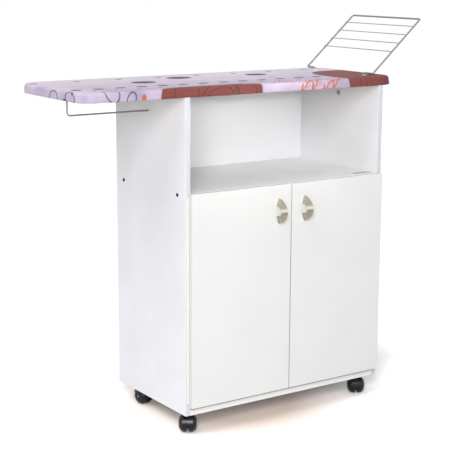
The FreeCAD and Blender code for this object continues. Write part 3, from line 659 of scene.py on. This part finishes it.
@dataclass(frozen=True)
class Enamel(Finish):
    """Baked white enamel on steel: glossy, with an orange peel and faintly yellow hollows."""

    def sockets(self) -> Mapping[str, float]:
        """Give the glaze."""
        return {"Coat Weight": 0.2}

    def grains(self) -> Sequence[Grain]:
        """Give the orange peel."""
        return (Grain(1.8, 1.0, "E3E1DA", 0.3, depth=0.02),)


@dataclass(frozen=True)
class Beech(Finish):
    """Turned beech: pale pinkish brown with short dark flecks along the grain."""

    along: Axis = Axis.Z

    def grains(self) -> Sequence[Grain]:
        """Give the flecks, drawn out along the dowel."""
        return (Grain(0.7, 3.0, "A9794D", depth=0.06, along=self.along, stretch=0.1),)


@dataclass(frozen=True)
class MouldedPlastic(Finish):
    """Injection-moulded plastic: even colour, a fine spark-eroded grain and dusty scuffs.

    On the casters it is black nylon that has picked up pale dust where it rolls.
    """

    relief_mm: float = 0.02
    scuff: float = 0.0
    scuff_mm: float = 7.0
    shine: float = 0.5

    def sockets(self) -> Mapping[str, float]:
        """Give the shine."""
        return {"Specular IOR Level": self.shine}

    def grains(self) -> Sequence[Grain]:
        """Give the moulded grain and the dusty, uneven scuffs."""
        return (Grain(0.9, 2.0, depth=self.relief_mm),
                Grain(self.scuff_mm, 5.0, "6E6A66", self.scuff, gloss=(-0.05, 0.1)))


def dress(nodes: Sequence[str], material: Material) -> None:
    """Give nodes of the frame a material in place of their plain one.

    Args:
        nodes: The nodes' names.
        material: The material for their whole surface.
    """
    for node in nodes:
        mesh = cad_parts[node].data
        mesh.materials.clear()
        mesh.materials.append(material)
        LOG.info("%s is dressed in %s", node, material.name)


def ease(node: str, material: Material, body: str, radius: float) -> None:
    """Stand a copy of a board in its place, with its outer edges rounded as an edge band is.

    Args:
        node: The board's node.
        material: The material for the copy.
        body: The body that it moves with.
        radius: The rounding in millimetres.
    """
    least_length, least_turn = 80.0 * MM, math.radians(80)
    same_place, same_plane = 0.01 * MM, math.radians(1)
    shape = bmesh.new()
    shape.from_mesh(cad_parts[node].data)
    bmesh.ops.remove_doubles(shape, verts=shape.verts, dist=same_place)
    bmesh.ops.dissolve_limit(shape, angle_limit=same_plane, verts=shape.verts, edges=shape.edges)
    sharp = [e for e in shape.edges if e.is_manifold and e.calc_face_angle() > least_turn]
    outer = [e for e in sharp if e.calc_length() > least_length]
    ends = [e for e in sharp if e not in outer
            and all(any(o in outer for o in v.link_edges) for v in e.verts)]
    bmesh.ops.bevel(shape, geom=outer + ends, affect="EDGES", offset=radius * MM, segments=3,
                    profile=0.5, material=-1)
    settle(node + "_board", shape, material, body, [node], smooth=False)


def settle(
    name: str, shape: Shape, material: Material, body: str,
    replaced: Sequence[str] = (), smooth: bool = True,
) -> bpy.types.Object:
    """Turn a finished bmesh into a piece that rides on a body.

    Args:
        name: The piece's name.
        shape: The mesh in place, which is freed.
        material: Its material.
        body: The body that it moves with.
        replaced: The frame's nodes that it stands for.
        smooth: Whether its faces are shaded smooth.

    Returns:
        The new object.
    """
    mesh = bpy.data.meshes.new(name)
    shape.to_mesh(mesh)
    shape.free()
    mesh.polygons.foreach_set("use_smooth", [smooth] * len(mesh.polygons))
    mesh.materials.append(material)
    piece = stand(name, mesh)
    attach(piece, body)
    if replaced:
        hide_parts(*replaced)
    LOG.info("%s is made and rides on %s", name, body)
    return piece


@dataclass(frozen=True)
class Softbox:
    """A rectangular lamp that is aimed at the open compartment.

    Attributes:
        name: The lamp's name.
        share: The share of full white that it brings to a white surface that faces it.
        azimuth: Its direction, in degrees from the front towards the right.
        distance: How far it stands from its target, in metres.
        height: Its height in metres.
        size: Its width and height in metres.
        lift: How far above the shelf's middle its target lies, in metres.
        beam: The angle that it lights, in degrees.
    """

    name: str
    share: float
    azimuth: float
    distance: float
    height: float
    size: Pair
    lift: float = 0.0
    beam: float = 180.0


@dataclass
class Studio:
    """The camera at the photograph's viewpoint, a white floor and soft light.

    The camera's place is in millimetres, and all angles are in degrees. The camera sees the floor
    in one shade near its middle and in another far off: near the cabinet it is painted darker and
    warmer, a painted shadow under the base, and far off it is painted brighter, which paints out
    the cast shadows there. Each shade has its gain, and the fade lies between two distances in
    metres. The sun's share is that of full white on a white surface that faces it.
    """

    camera_place: tuple[float, float, float] = (-1927.2, -2796.8, 1202.9)
    yaw: float = 34.109
    pitch: float = 11.634
    roll: float = 0.273
    lens: float = 101.9
    sensor: float = 36.0
    floor_half: float = 7.0
    floor_colour: str = "D8D8DC"
    floor_shades: tuple[str, str] = ("F8E6D8", "FDFCFD")
    floor_gain: Pair = (0.96, 1.85)
    floor_fade: Pair = (0.16, 0.48)
    sky: float = 0.34
    sun_share: float = 0.36
    sun_azimuth: float = -84.0
    sun_elevation: float = 57.0
    sun_softness: float = 34.0
    softboxes: tuple[Softbox, ...] = (
        Softbox("softbox", 0.70, -38.0, 4.1, 2.2, (1.0, 2.0)),
        Softbox("gridded_softbox", 0.0027, -14.0, 3.0, 1.35, (0.4, 0.3), lift=0.23, beam=12.0),
    )

    def build(self) -> None:
        """Make the camera, the floor, the sky and the lamps."""
        bpy.context.scene.view_settings.view_transform = "Standard"
        self.make_camera()
        self.make_floor()
        self.make_sky()
        self.hang_sun()
        for softbox in self.softboxes:
            self.hang_softbox(softbox)

    def make_camera(self) -> None:
        """Place the camera as it was worked out from the photograph."""
        yaw, pitch, roll = (math.radians(a) for a in (self.yaw, self.pitch, self.roll))
        right = Vector((math.cos(yaw), -math.sin(yaw), 0))
        ahead = Vector((
            math.sin(yaw) * math.cos(pitch), math.cos(yaw) * math.cos(pitch), -math.sin(pitch)))
        up = right.cross(ahead)
        side = right * math.cos(roll) + up * math.sin(roll)
        top = up * math.cos(roll) - right * math.sin(roll)
        lens = bpy.data.cameras.new("camera")
        lens.lens, lens.sensor_width = self.lens, self.sensor
        camera = stand("camera", lens)
        turned = Matrix((side, top, -ahead)).transposed().to_4x4()
        camera.matrix_world = Matrix.Translation(Vector(self.camera_place) * MM) @ turned
        bpy.context.scene.camera = camera

    def make_floor(self) -> None:
        """Lay a wide pale floor at the casters' feet."""
        shape = bmesh.new()
        bmesh.ops.create_grid(shape, x_segments=1, y_segments=1, size=self.floor_half)
        mesh = bpy.data.meshes.new("floor")
        shape.to_mesh(mesh)
        shape.free()
        floor = stand("floor", mesh)
        material = bpy.data.materials.new("matt_white_floor")
        mesh.materials.append(material)
        tree = empty_tree(material)
        place = add(tree, "TexCoord", out="Object")
        away = add(tree, "VectorMath", (place,), "Value", operation="LENGTH")
        # Painted shadow near the middle, darker and warmer; painted light far off, over the cast
        # shadows.
        near, far = (Vector(linear(shade)[:3]) * gain
                     for shade, gain in zip(self.floor_shades, self.floor_gain))
        start, end = ((reach,) * 3 for reach in self.floor_fade)
        bright = add(tree, "MapRange", {
            "Vector": away, 7: start, 8: end, 9: near, 10: far}, "Vector",
            data_type="FLOAT_VECTOR")
        plain = add(tree, "MixRGB", (
            self.backdrop_rays(tree), linear(self.floor_colour), linear(WHITE)))
        seen = add(tree, "LightPath", out="Is Camera Ray")
        mixed = add(tree, "MixRGB", (seen, plain, bright))
        paint = add(tree, "BsdfDiffuse", {"Color": mixed})
        add(tree, "OutputMaterial", {"Surface": paint})

    def make_sky(self) -> None:
        """Light everything evenly, with white behind it for the camera and for reflections."""
        world = bpy.data.worlds.new("soft_sky")
        tree = empty_tree(world)
        level = add(tree, "MapRange", (self.backdrop_rays(tree), 0.0, 1.0, self.sky, 1.0))
        back = add(tree, "Background", {"Color": linear(WHITE), "Strength": level})
        add(tree, "OutputWorld", {"Surface": back})
        bpy.context.scene.world = world

    @staticmethod
    def backdrop_rays(tree: Tree) -> Socket:
        """Tell the rays that see the white backdrop from those that carry light.

        Args:
            tree: The tree of the floor or of the sky.

        Returns:
            A socket that is 1 for what is seen, straight or in metal or glass, and 0 for light.
        """
        rays = add(tree, "LightPath").node.outputs
        seen = rays["Is Camera Ray"]
        for kind in ("Is Glossy Ray", "Is Transmission Ray"):
            seen = add(tree, "Math", (seen, rays[kind]), operation="MAXIMUM")
        return seen

    @staticmethod
    def hang(lamp: bpy.types.Light, place: Vector, back: Vector) -> bpy.types.Object:
        """Hang a lamp in the scene.

        Args:
            lamp: The lamp.
            place: Its place in metres.
            back: The direction that its back is turned to.

        Returns:
            The lamp's object.
        """
        holder = stand(lamp.name, lamp)
        turn = back.to_track_quat("Z", "Y").to_matrix().to_4x4()
        holder.matrix_world = Matrix.Translation(place) @ turn
        return holder

    @staticmethod
    def towards(azimuth: float, elevation: float) -> Vector:
        """Turn a direction into a unit vector.

        Args:
            azimuth: Its angle in degrees from the front towards the right.
            elevation: Its angle in degrees above the floor.

        Returns:
            The unit vector.
        """
        around, high = math.radians(azimuth), math.radians(elevation)
        return Vector((
            math.sin(around) * math.cos(high), -math.cos(around) * math.cos(high),
            math.sin(high)))

    def hang_sun(self) -> None:
        """Hang the broad overhead lamp as a soft sun."""
        lamp = bpy.data.lights.new("overhead", "SUN")
        lamp.energy = self.sun_share * math.pi
        lamp.angle = math.radians(self.sun_softness)
        back = self.towards(self.sun_azimuth, self.sun_elevation)
        self.hang(lamp, Vector(), back)

    def hang_softbox(self, softbox: Softbox) -> None:
        """Hang a softbox that the camera doesn't see.

        Args:
            softbox: The softbox.
        """
        low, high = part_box("middle_shelf")
        target = (low + high) / 2 + Vector((0.0, 0.0, softbox.lift))
        place = target + self.towards(softbox.azimuth, 0.0) * softbox.distance
        place.z = softbox.height
        lamp = bpy.data.lights.new(softbox.name, "AREA")
        lamp.energy = softbox.share * (math.pi * (place - target).length) ** 2
        lamp.shape = "RECTANGLE"
        lamp.size, lamp.size_y = softbox.size
        lamp.spread = math.radians(softbox.beam)
        self.hang(lamp, place, place - target).visible_camera = False


@dataclass
class Carcass:
    """The white case: sides, base, shelf, back and what joins them, in millimetres."""

    face: str = "EDEEF2"
    # The shelf and base melamine is painted paler than the sides' melamine, as painted light in
    # the compartment shaded by the board.
    inner_face_painted_paler: str = "F8FAFC"
    inner_band: str = "F7F5F0"
    inner_cloud: str = "F4F5F7"
    back_face: str = "ECEEF0"
    back_bare: str = "8C6A48"
    beech: str = "D3A577"
    gloss: float = 0.34
    inner_gloss: float = 0.19
    edge_round: float = 0.8
    strip_size: tuple[float, float, float] = (58.0, 12.0, 0.7)
    strip_place: Pair = (36.0, 22.0)
    strip_round: float = 0.3

    def build(self) -> None:
        """Dress every board and fastener of the case."""
        upright = Melamine("white_melamine_side", self.face, self.gloss, across=Axis.X).build()
        level = Melamine(
            "white_melamine_shelf", self.inner_face_painted_paler, self.inner_gloss, across=Axis.Z,
            band_colour=self.inner_band, cloud_colour=self.inner_cloud).build()
        for node in ("left_side_panel", "right_side_panel"):
            ease(node, upright, "cabinet", self.edge_round)
        for node in ("base_panel", "middle_shelf"):
            ease(node, level, "cabinet", self.edge_round)
        dress(["back_panel"], Hardboard(
            "white_faced_hardboard", self.back_bare, 0.75, face_colour=self.back_face).build())
        dress(["back_panel_nails", "board_cam_bolts", "base_cam_bolts", "board_cam_locks",
               "base_cam_locks"],
              Plating("zinc_plated_steel", "A9ABAE", 0.34, haze=0.1, haze_mm=3.0).build())
        dress(["shelf_screws"], Plating("black_oxide_steel", "0A0A0A", 0.5, haze=0.08).build())
        dress(["board_dowels"],
              Beech("turned_beech_upright", self.beech, 0.6, along=Axis.Z).build())
        dress(["base_dowels"], Beech("turned_beech_level", self.beech, 0.6, along=Axis.X).build())
        dress(["magnet_catch"], MouldedPlastic("white_polypropylene", "EDEDEA", 0.4).build())
        self.lay_grey_strip()

    def lay_grey_strip(self) -> None:
        """Lay a thin grey strip over the short groove near the shelf's front right corner."""
        low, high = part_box("middle_shelf")
        length, width, thickness = (side * MM for side in self.strip_size)
        from_right, from_front = (inset * MM for inset in self.strip_place)
        place = (high.x - from_right, low.y + from_front, high.z + thickness / 2)
        shape = bmesh.new()
        bmesh.ops.create_cube(shape, size=1.0)
        bmesh.ops.scale(shape, vec=(length, width, thickness), verts=shape.verts)
        bmesh.ops.bevel(shape, geom=list(shape.edges), affect="EDGES",
                        offset=thickness * self.strip_round, segments=2, profile=0.5, material=-1)
        bmesh.ops.translate(shape, vec=place, verts=shape.verts)
        grey = MouldedPlastic("grey_mark_strip", "A3A19C", 0.6, relief_mm=0.05, scuff=0.2).build()
        settle("shelf_strip", shape, grey, "cabinet", smooth=False)


@dataclass
class Doors:
    """The two overlay doors with their hinges, handles and strike plates."""

    face: str = "EBEBE9"
    face_cloud: str = "E8E8E6"
    band: str = "D6D4CF"
    gloss: float = 0.32
    edge_round: float = 0.5

    def build(self) -> None:
        """Dress the doors and their hardware."""
        front = Melamine("white_melamine_door", self.face, self.gloss, across=Axis.Y,
                         band_colour=self.band, cloud_colour=self.face_cloud).build()
        nickel = NickelWithPaintedHighlight("satin_nickel_zinc_casting", "B2AE9E", 0.3, haze=0.05,
                              haze_mm=9.0, brush_mm=0.7, lacquer=0.5).build()
        enamel = Enamel("white_enamelled_steel", "EFEEEB", 0.3).build()
        steel = Plating("bright_zinc_screw", "A4A6A9", 0.3, haze=0.08, haze_mm=2.5).build()
        for side in ("left", "right"):
            ease(side + "_door", front, side + "_door", self.edge_round)
            dress([side + "_handle"], nickel)
            dress([side + part for part in ("_handle_screws", "_strike_plate", "_hinge_pin")],
                  steel)
            dress([f"{side}_hinge_{owner}_{part}" for owner in ("case", "door")
                   for part in ("leaf", "screws")], enamel)


@dataclass
class Wirework:
    """The iron rack with its sockets, and the hanger bar with its collars."""

    frame_colour: str = "94969A"
    crossbar_colour: str = "ACAEB2"
    gloss: float = 0.36
    haze: float = 0.06
    haze_mm: float = 14.0

    def build(self) -> None:
        """Dress the wire and the plastic that holds it."""
        for name, colour, nodes in (
            ("dull_chrome_plate", self.frame_colour, ["rack_frame", "hanger_bar"]),
            ("dull_chrome_crossbar", self.crossbar_colour, ["rack_crossbars"]),
        ):
            dress(nodes, Plating(
                name, colour, self.gloss, haze=self.haze, haze_mm=self.haze_mm).build())
        plastic = MouldedPlastic("white_nylon_bush", "E9E8E4", 0.38).build()
        dress(["rack_sockets", "hanger_bar_collars"], plastic)


@dataclass
class Casters:
    """Four twin-wheel casters of black nylon on plated plates."""

    corners: tuple[str, ...] = ("front_left", "front_right", "rear_left", "rear_right")

    def build(self) -> None:
        """Dress the plates, hoods, axles and wheels."""
        hood = MouldedPlastic("black_nylon_hood", "0A0A0C", 0.24, scuff=0.04, shine=0.28).build()
        tread = MouldedPlastic(
            "black_nylon_tread", "0D0D0F", 0.26, scuff=0.08, scuff_mm=9.0, shine=0.3).build()
        steel = Plating("zinc_plated_plate", "9FA1A4", 0.36, haze=0.1, haze_mm=4.0).build()
        dress(["caster_plates", "caster_plate_screws"], steel)
        for corner in self.corners:
            dress([corner + "_caster_hood"], hood)
            dress([corner + "_caster_axle"], steel)
            dress([f"{corner}_caster_{hand}_wheel" for hand in ("left", "right")], tread)


@dataclass(frozen=True)
class Ripple:
    """Smooth noise along the cloth's edge.

    Attributes:
        pitch: The length of its waves along the edge, in millimetres.
        drift: How fast it changes from the top to the hem.
        seed: Where in the noise it is taken.
    """

    pitch: float
    drift: float
    seed: float

    def at(self, along: float, depth: float) -> float:
        """Give its height from -1 to 1, along the edge and from the top at 0 to the hem at 1."""
        return noise.noise(Vector((along / self.pitch, depth * self.drift, self.seed)))


@dataclass
class PaddedBoard:
    """The ironing board: chipboard core, felt pad and printed cotton cover.

    Lengths are in millimetres. The outline is the frame's own, and the cloth lies on it as a
    sheet that was cut larger and turned under. Its creases grow from the top to the hem, where
    it droops a little and is gathered. At the corners it has more of both.
    """

    corner: float = 52.0
    top_round: float = 6.5
    hem: float = 24.0
    roll: float = 2.0
    cell: float = 7.0
    inner_corner: float = 6.0
    corner_steps: int = 30
    flat_steps: int = 6
    round_steps: int = 5
    side_steps: int = 5
    roll_steps: int = 2
    hem_steps: int = 4
    pad_round: float = 0.6
    dip: float = 0.25
    dip_pitch: float = 60.0
    fine: Ripple = Ripple(14.0, 1.3, 3.0)
    broad: Ripple = Ripple(45.0, 0.8, 9.0)
    crease: float = 1.6
    crease_more: float = 2.2
    crease_shares: Pair = (0.6, 0.9)
    corner_start: float = 0.05
    hem_start: float = 0.96
    droop: float = 6.0
    droop_start: float = 0.6
    droop_fine: float = 0.5
    gather: float = 1.5
    gather_pitch: float = 11.0
    gather_apart: float = 2.2
    gather_less: float = 0.5
    gather_shift: float = 1.7
    cloth: float = 0.7
    felt_gap: float = 0.4
    press_margin: float = 2.0
    press_lift: float = 0.15
    low: Vector = field(init=False)
    high: Vector = field(init=False)

    def build(self) -> None:
        """Make the pad and the cover, and dress the core."""
        low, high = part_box("board_cover")
        self.low, self.high = low / MM, high / MM
        dress(["board_core"], Chipboard("bare_chipboard", "E6DECE", 0.8).build())
        self.make_pad()
        self.make_cover()

    def skeleton(self, corner: float) -> Pair:
        """Give half the size of the rectangle that the corner arcs are struck from."""
        return (self.high.x - self.low.x) / 2 - corner, (self.high.y - self.low.y) / 2 - corner

    def outline(self, inner: float, cell: float, steps: int) -> Shape:
        """Make a flat sheet of small cells with rounded corners.

        Args:
            inner: How far its straight edges lie outside the skeleton, its corner radius too.
            cell: The size of its cells, or 0 for one face.
            steps: The steps of each corner.

        Returns:
            The sheet round the board's centre, at height 0.
        """
        halves = [half + inner for half in self.skeleton(self.corner)]
        columns, rows = (round(2 * half / cell) if cell else 1 for half in halves)
        shape = bmesh.new()
        bmesh.ops.create_grid(shape, x_segments=columns, y_segments=rows, size=1.0)
        bmesh.ops.scale(shape, vec=(*halves, 1.0), verts=shape.verts)
        corners = [v for v in shape.verts if len(v.link_edges) == 2]
        bmesh.ops.bevel(shape, geom=corners, affect="VERTICES", offset=inner,
                        offset_type="OFFSET", segments=steps, profile=0.5, material=-1)
        return shape

    def ribs(self, place: Vector) -> tuple[Vector, Vector, float]:
        """Find where a point lies from the skeleton.

        Args:
            place: A point round the board's centre.

        Returns:
            The nearest point of the skeleton, the unit vector away from it and how far it is.
        """
        half_x, half_y = self.skeleton(self.corner)
        near = Vector((
            max(-half_x, min(half_x, place.x)), max(-half_y, min(half_y, place.y)), 0.0))
        away = Vector((place.x, place.y, 0.0)) - near
        distance = away.length
        return near, (away / distance if distance > MM else Vector()), distance

    def make_pad(self) -> None:
        """Make the felt pad under the cover as a soft-edged slab."""
        low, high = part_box("board_padding")
        floor, top = low.z / MM, high.z / MM
        reach = self.corner - self.cloth - self.felt_gap
        shape = self.outline(reach, 0.0, self.corner_steps // 2)
        grown = bmesh.ops.extrude_face_region(shape, geom=list(shape.faces))
        lifted = [v for v in grown["geom"] if isinstance(v, bmesh.types.BMVert)]
        bmesh.ops.translate(shape, vec=(0, 0, top - floor - self.felt_gap), verts=lifted)
        rim = [e for e in shape.edges if all(v in lifted for v in e.verts)
               and any(abs(f.normal.z) < 0.5 for f in e.link_faces)]
        bmesh.ops.bevel(shape, geom=rim, affect="EDGES", offset=self.top_round * self.pad_round,
                        segments=3, profile=0.5, material=-1)
        bmesh.ops.recalc_face_normals(shape, faces=shape.faces)
        self.carry(shape, floor)
        piece = settle("felt_pad", shape, Felt("needled_felt", "DAD6CC", 0.95).build(),
                       "cabinet", ["board_padding"])

    def carry(self, shape: Shape, height: float) -> None:
        """Move a shape from the board's centre to its place and turn it to metres.

        Args:
            shape: The shape.
            height: How high it is lifted.
        """
        x, y = (self.low.x + self.high.x) / 2, (self.low.y + self.high.y) / 2
        bmesh.ops.translate(shape, vec=(x, y, height), verts=shape.verts)
        bmesh.ops.scale(shape, vec=(MM, MM, MM), verts=shape.verts)

    def profile(self) -> list[tuple[float, float, float]]:
        """Lay out the cloth's section from the flat top to the rolled hem.

        Returns:
            For each ring its distance outwards from the skeleton, its height below the top and
            its distance along the cloth.
        """
        quarter = math.pi / 2
        drop = self.high.z - self.low.z
        straight = drop - self.top_round - self.roll
        run = self.corner - self.top_round
        rings = []
        for share in shares(self.flat_steps):
            outwards = self.inner_corner + (run - self.inner_corner) * share
            rings.append((outwards, 0.0, outwards))
        for turn in (quarter * share for share in shares(self.round_steps)):
            rings.append((run + self.top_round * math.sin(turn),
                          self.top_round * (1 - math.cos(turn)), run + self.top_round * turn))
        run += self.top_round * quarter
        for down in (straight * share for share in shares(self.side_steps)):
            rings.append((self.corner, self.top_round + down, run + down))
        run += straight
        for turn in (quarter * share for share in shares(self.roll_steps)):
            rings.append((self.corner - self.roll * (1 - math.cos(turn)),
                          drop - self.roll * (1 - math.sin(turn)), run + self.roll * turn))
        run += self.roll * quarter
        for inward in (self.hem * share for share in shares(self.hem_steps)):
            rings.append((self.corner - self.roll - inward, drop, run + inward))
        return rings

    def make_cover(self) -> None:
        """Make the cotton cover: flat on top, drawn round the edge and gathered underneath."""
        shape = self.outline(self.inner_corner, self.cell, self.corner_steps)
        layer = shape.loops.layers.uv.new("cloth")
        flat = {vert: (vert.co.x, vert.co.y) for vert in shape.verts}
        rim = [e for e in shape.edges if e.is_boundary]
        stem = {v: self.ribs(v.co)[:2] for e in rim for v in e.verts}
        for outwards, down, run in self.profile():
            grown = bmesh.ops.extrude_edge_only(shape, edges=rim)["geom"]
            rim = [e for e in grown if isinstance(e, bmesh.types.BMEdge)]
            next_stem = {}
            for vert in (v for v in grown if isinstance(v, bmesh.types.BMVert)):
                near, away = next(
                    stem[other] for other in (e.other_vert(vert) for e in vert.link_edges)
                    if other in stem)
                vert.co = near + away * outwards - Vector((0, 0, down))
                flat[vert] = (near.x + away.x * run, near.y + away.y * run)
                next_stem[vert] = (near, away)
            stem = next_stem
        for face in shape.faces:
            for loop in face.loops:
                u, v = flat[loop.vert]
                loop[layer].uv = (u * MM, v * MM)
        self.crease_cloth(shape)
        bmesh.ops.recalc_face_normals(shape, faces=shape.faces)
        self.carry(shape, self.high.z)
        self.press_on_panels(shape)
        piece = settle("cotton_cover", shape, self.cotton().build(), "cabinet",
                       ["board_cover"])
        skin = piece.modifiers.new("cloth", "SOLIDIFY")
        skin.thickness, skin.offset = self.cloth * MM, -1.0
        spare = self.profile()[-1][2] - self.corner

    def crease_cloth(self, shape: Shape) -> None:
        """Give the cloth soft creases down its sides and gathers underneath.

        Args:
            shape: The cover round the board's centre, with its top at height 0.
        """
        fine_share, broad_share = self.crease_shares
        for vert in shape.verts:
            near, away, distance = self.ribs(vert.co)
            if distance < self.inner_corner:
                spot = Vector((vert.co.x / self.dip_pitch, vert.co.y / self.dip_pitch, 0.0))
                vert.co.z += self.dip * noise.noise(spot)
                continue
            depth = vert.co.z / (self.low.z - self.high.z)
            in_corner = min(abs(away.x), abs(away.y)) > self.corner_start
            around = math.atan2(away.y, away.x) * self.corner
            along = near.x * abs(away.y) + near.y * abs(away.x) + around
            fine, broad = self.fine.at(along, depth), self.broad.at(along, depth)
            if depth < self.hem_start:
                strength = self.crease * depth * (self.crease_more if in_corner else 1.0)
                vert.co += away * strength * (fine_share * fine + broad_share * broad)
                droop = self.droop * max(0.0, depth - self.droop_start)
                vert.co.z -= droop * (broad + self.droop_fine * fine)
            else:
                share = min(1.0, max(0.0, (self.corner - distance) / self.hem))
                pitch = self.gather_pitch * (1.0 if in_corner else self.gather_apart)
                turn = 2 * math.pi * along / pitch + self.gather_shift * broad
                fold = (0.5 + 0.5 * math.sin(turn)) * (1.0 if in_corner else self.gather_less)
                vert.co.z -= self.gather * share * fold

    def press_on_panels(self, shape: Shape) -> None:
        """Lift the hem where the case stands under the board, as the weight presses it flat.

        Args:
            shape: The cover in its place, in metres.
        """
        margin, lift = self.press_margin * MM, self.press_lift * MM
        for node in ("left_side_panel", "right_side_panel", "back_panel"):
            low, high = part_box(node)
            for place in (vert.co for vert in shape.verts):
                if (low.x - margin < place.x < high.x + margin
                        and low.y - margin < place.y < high.y + margin):
                    place.z = max(place.z, high.z + lift)

    @staticmethod
    def cotton() -> PrintedCotton:
        """Lay out the print of the cover.

        Returns:
            The cotton with all its motifs.
        """
        front = -175.0
        motifs = [
            Motif(PLUM, (34.0, -84.0), (15.0, 11.0), pitch=61.0),
            Motif(GREY_LINE, (64.0, -122.0), (4.5, 4.5), pitch=61.0),
            Motif(GREY_LINE, (20.0, 118.0), (10.0, 8.0), pitch=122.0),
            Motif(PLUM, (-208.0, 14.0), (35.0, 26.0)),
            Motif(PLUM, (-62.0, 78.0), (36.0, 28.0)),
            Motif(PLUM, (176.0, 58.0), (32.0, 26.0)),
            Motif(BRICK, (-118.0, front - 26.0), (152.0, 58.0), power=3.4),
            Motif(BRICK, (440.0, front + 66.0), (128.0, 165.0), power=2.6),
        ]
        for ink, line, ovals in (
            (DEEP_RED, 1.5, (
                (-96.0, front - 26.0, 58.0, 40.0, 14.0), (-96.0, front - 26.0, 40.0, 26.0, 14.0),
                (-196.0, front - 12.0, 34.0, 46.0, -22.0),
                (-16.0, front - 14.0, 30.0, 44.0, 18.0), (404.0, front - 6.0, 44.0, 56.0, 20.0),
                (404.0, front - 6.0, 26.0, 36.0, 20.0), (454.0, front + 96.0, 56.0, 40.0, -34.0),
                (-208.0, 14.0, 22.0, 15.0, 0.0), (-62.0, 78.0, 23.0, 17.0, 0.0),
                (176.0, 58.0, 20.0, 15.0, 0.0))),
            (GREY_LINE, 2.2, (
                (-404.0, front + 2.0, 18.0, 26.0, 24.0),
                (-498.0, front + 62.0, 15.0, 24.0, -12.0),
                (-352.0, front - 18.0, 12.0, 20.0, -16.0),
                (-502.0, front + 150.0, 16.0, 20.0, 18.0))),
        ):
            motifs += [Motif(ink, (x, y), (half_x, half_y), turn, line=line)
                       for x, y, half_x, half_y, turn in ovals]
        motifs.append(Motif(ORANGE, (-318.0, front - 14.0), (7.0, 8.0)))
        for foot, turn, leaves, length in (
            ((64.0, front + 4.0), 20.0, 6, 78.0), ((150.0, front - 36.0), 50.0, 5, 64.0),
            ((190.0, front - 36.0), 60.0, 6, 72.0), ((222.0, front - 36.0), 47.0, 5, 58.0),
            ((262.0, front - 36.0), 66.0, 6, 60.0),
        ):
            motifs += sprig(foot, turn, leaves, length)
        return PrintedCotton("lilac_printed_cotton", "A49EBA", 0.9, motifs=tuple(motifs))


def main() -> None:
    """Build the studio and every sub-assembly."""
    logging.basicConfig(level=logging.INFO, format="%(name)s: %(message)s")
    for part in (Studio(), Carcass(), Doors(), Wirework(), Casters(), PaddedBoard()):
        part.build()
        LOG.info("%s is done", type(part).__name__)


if __name__ == "__main__":
    main()
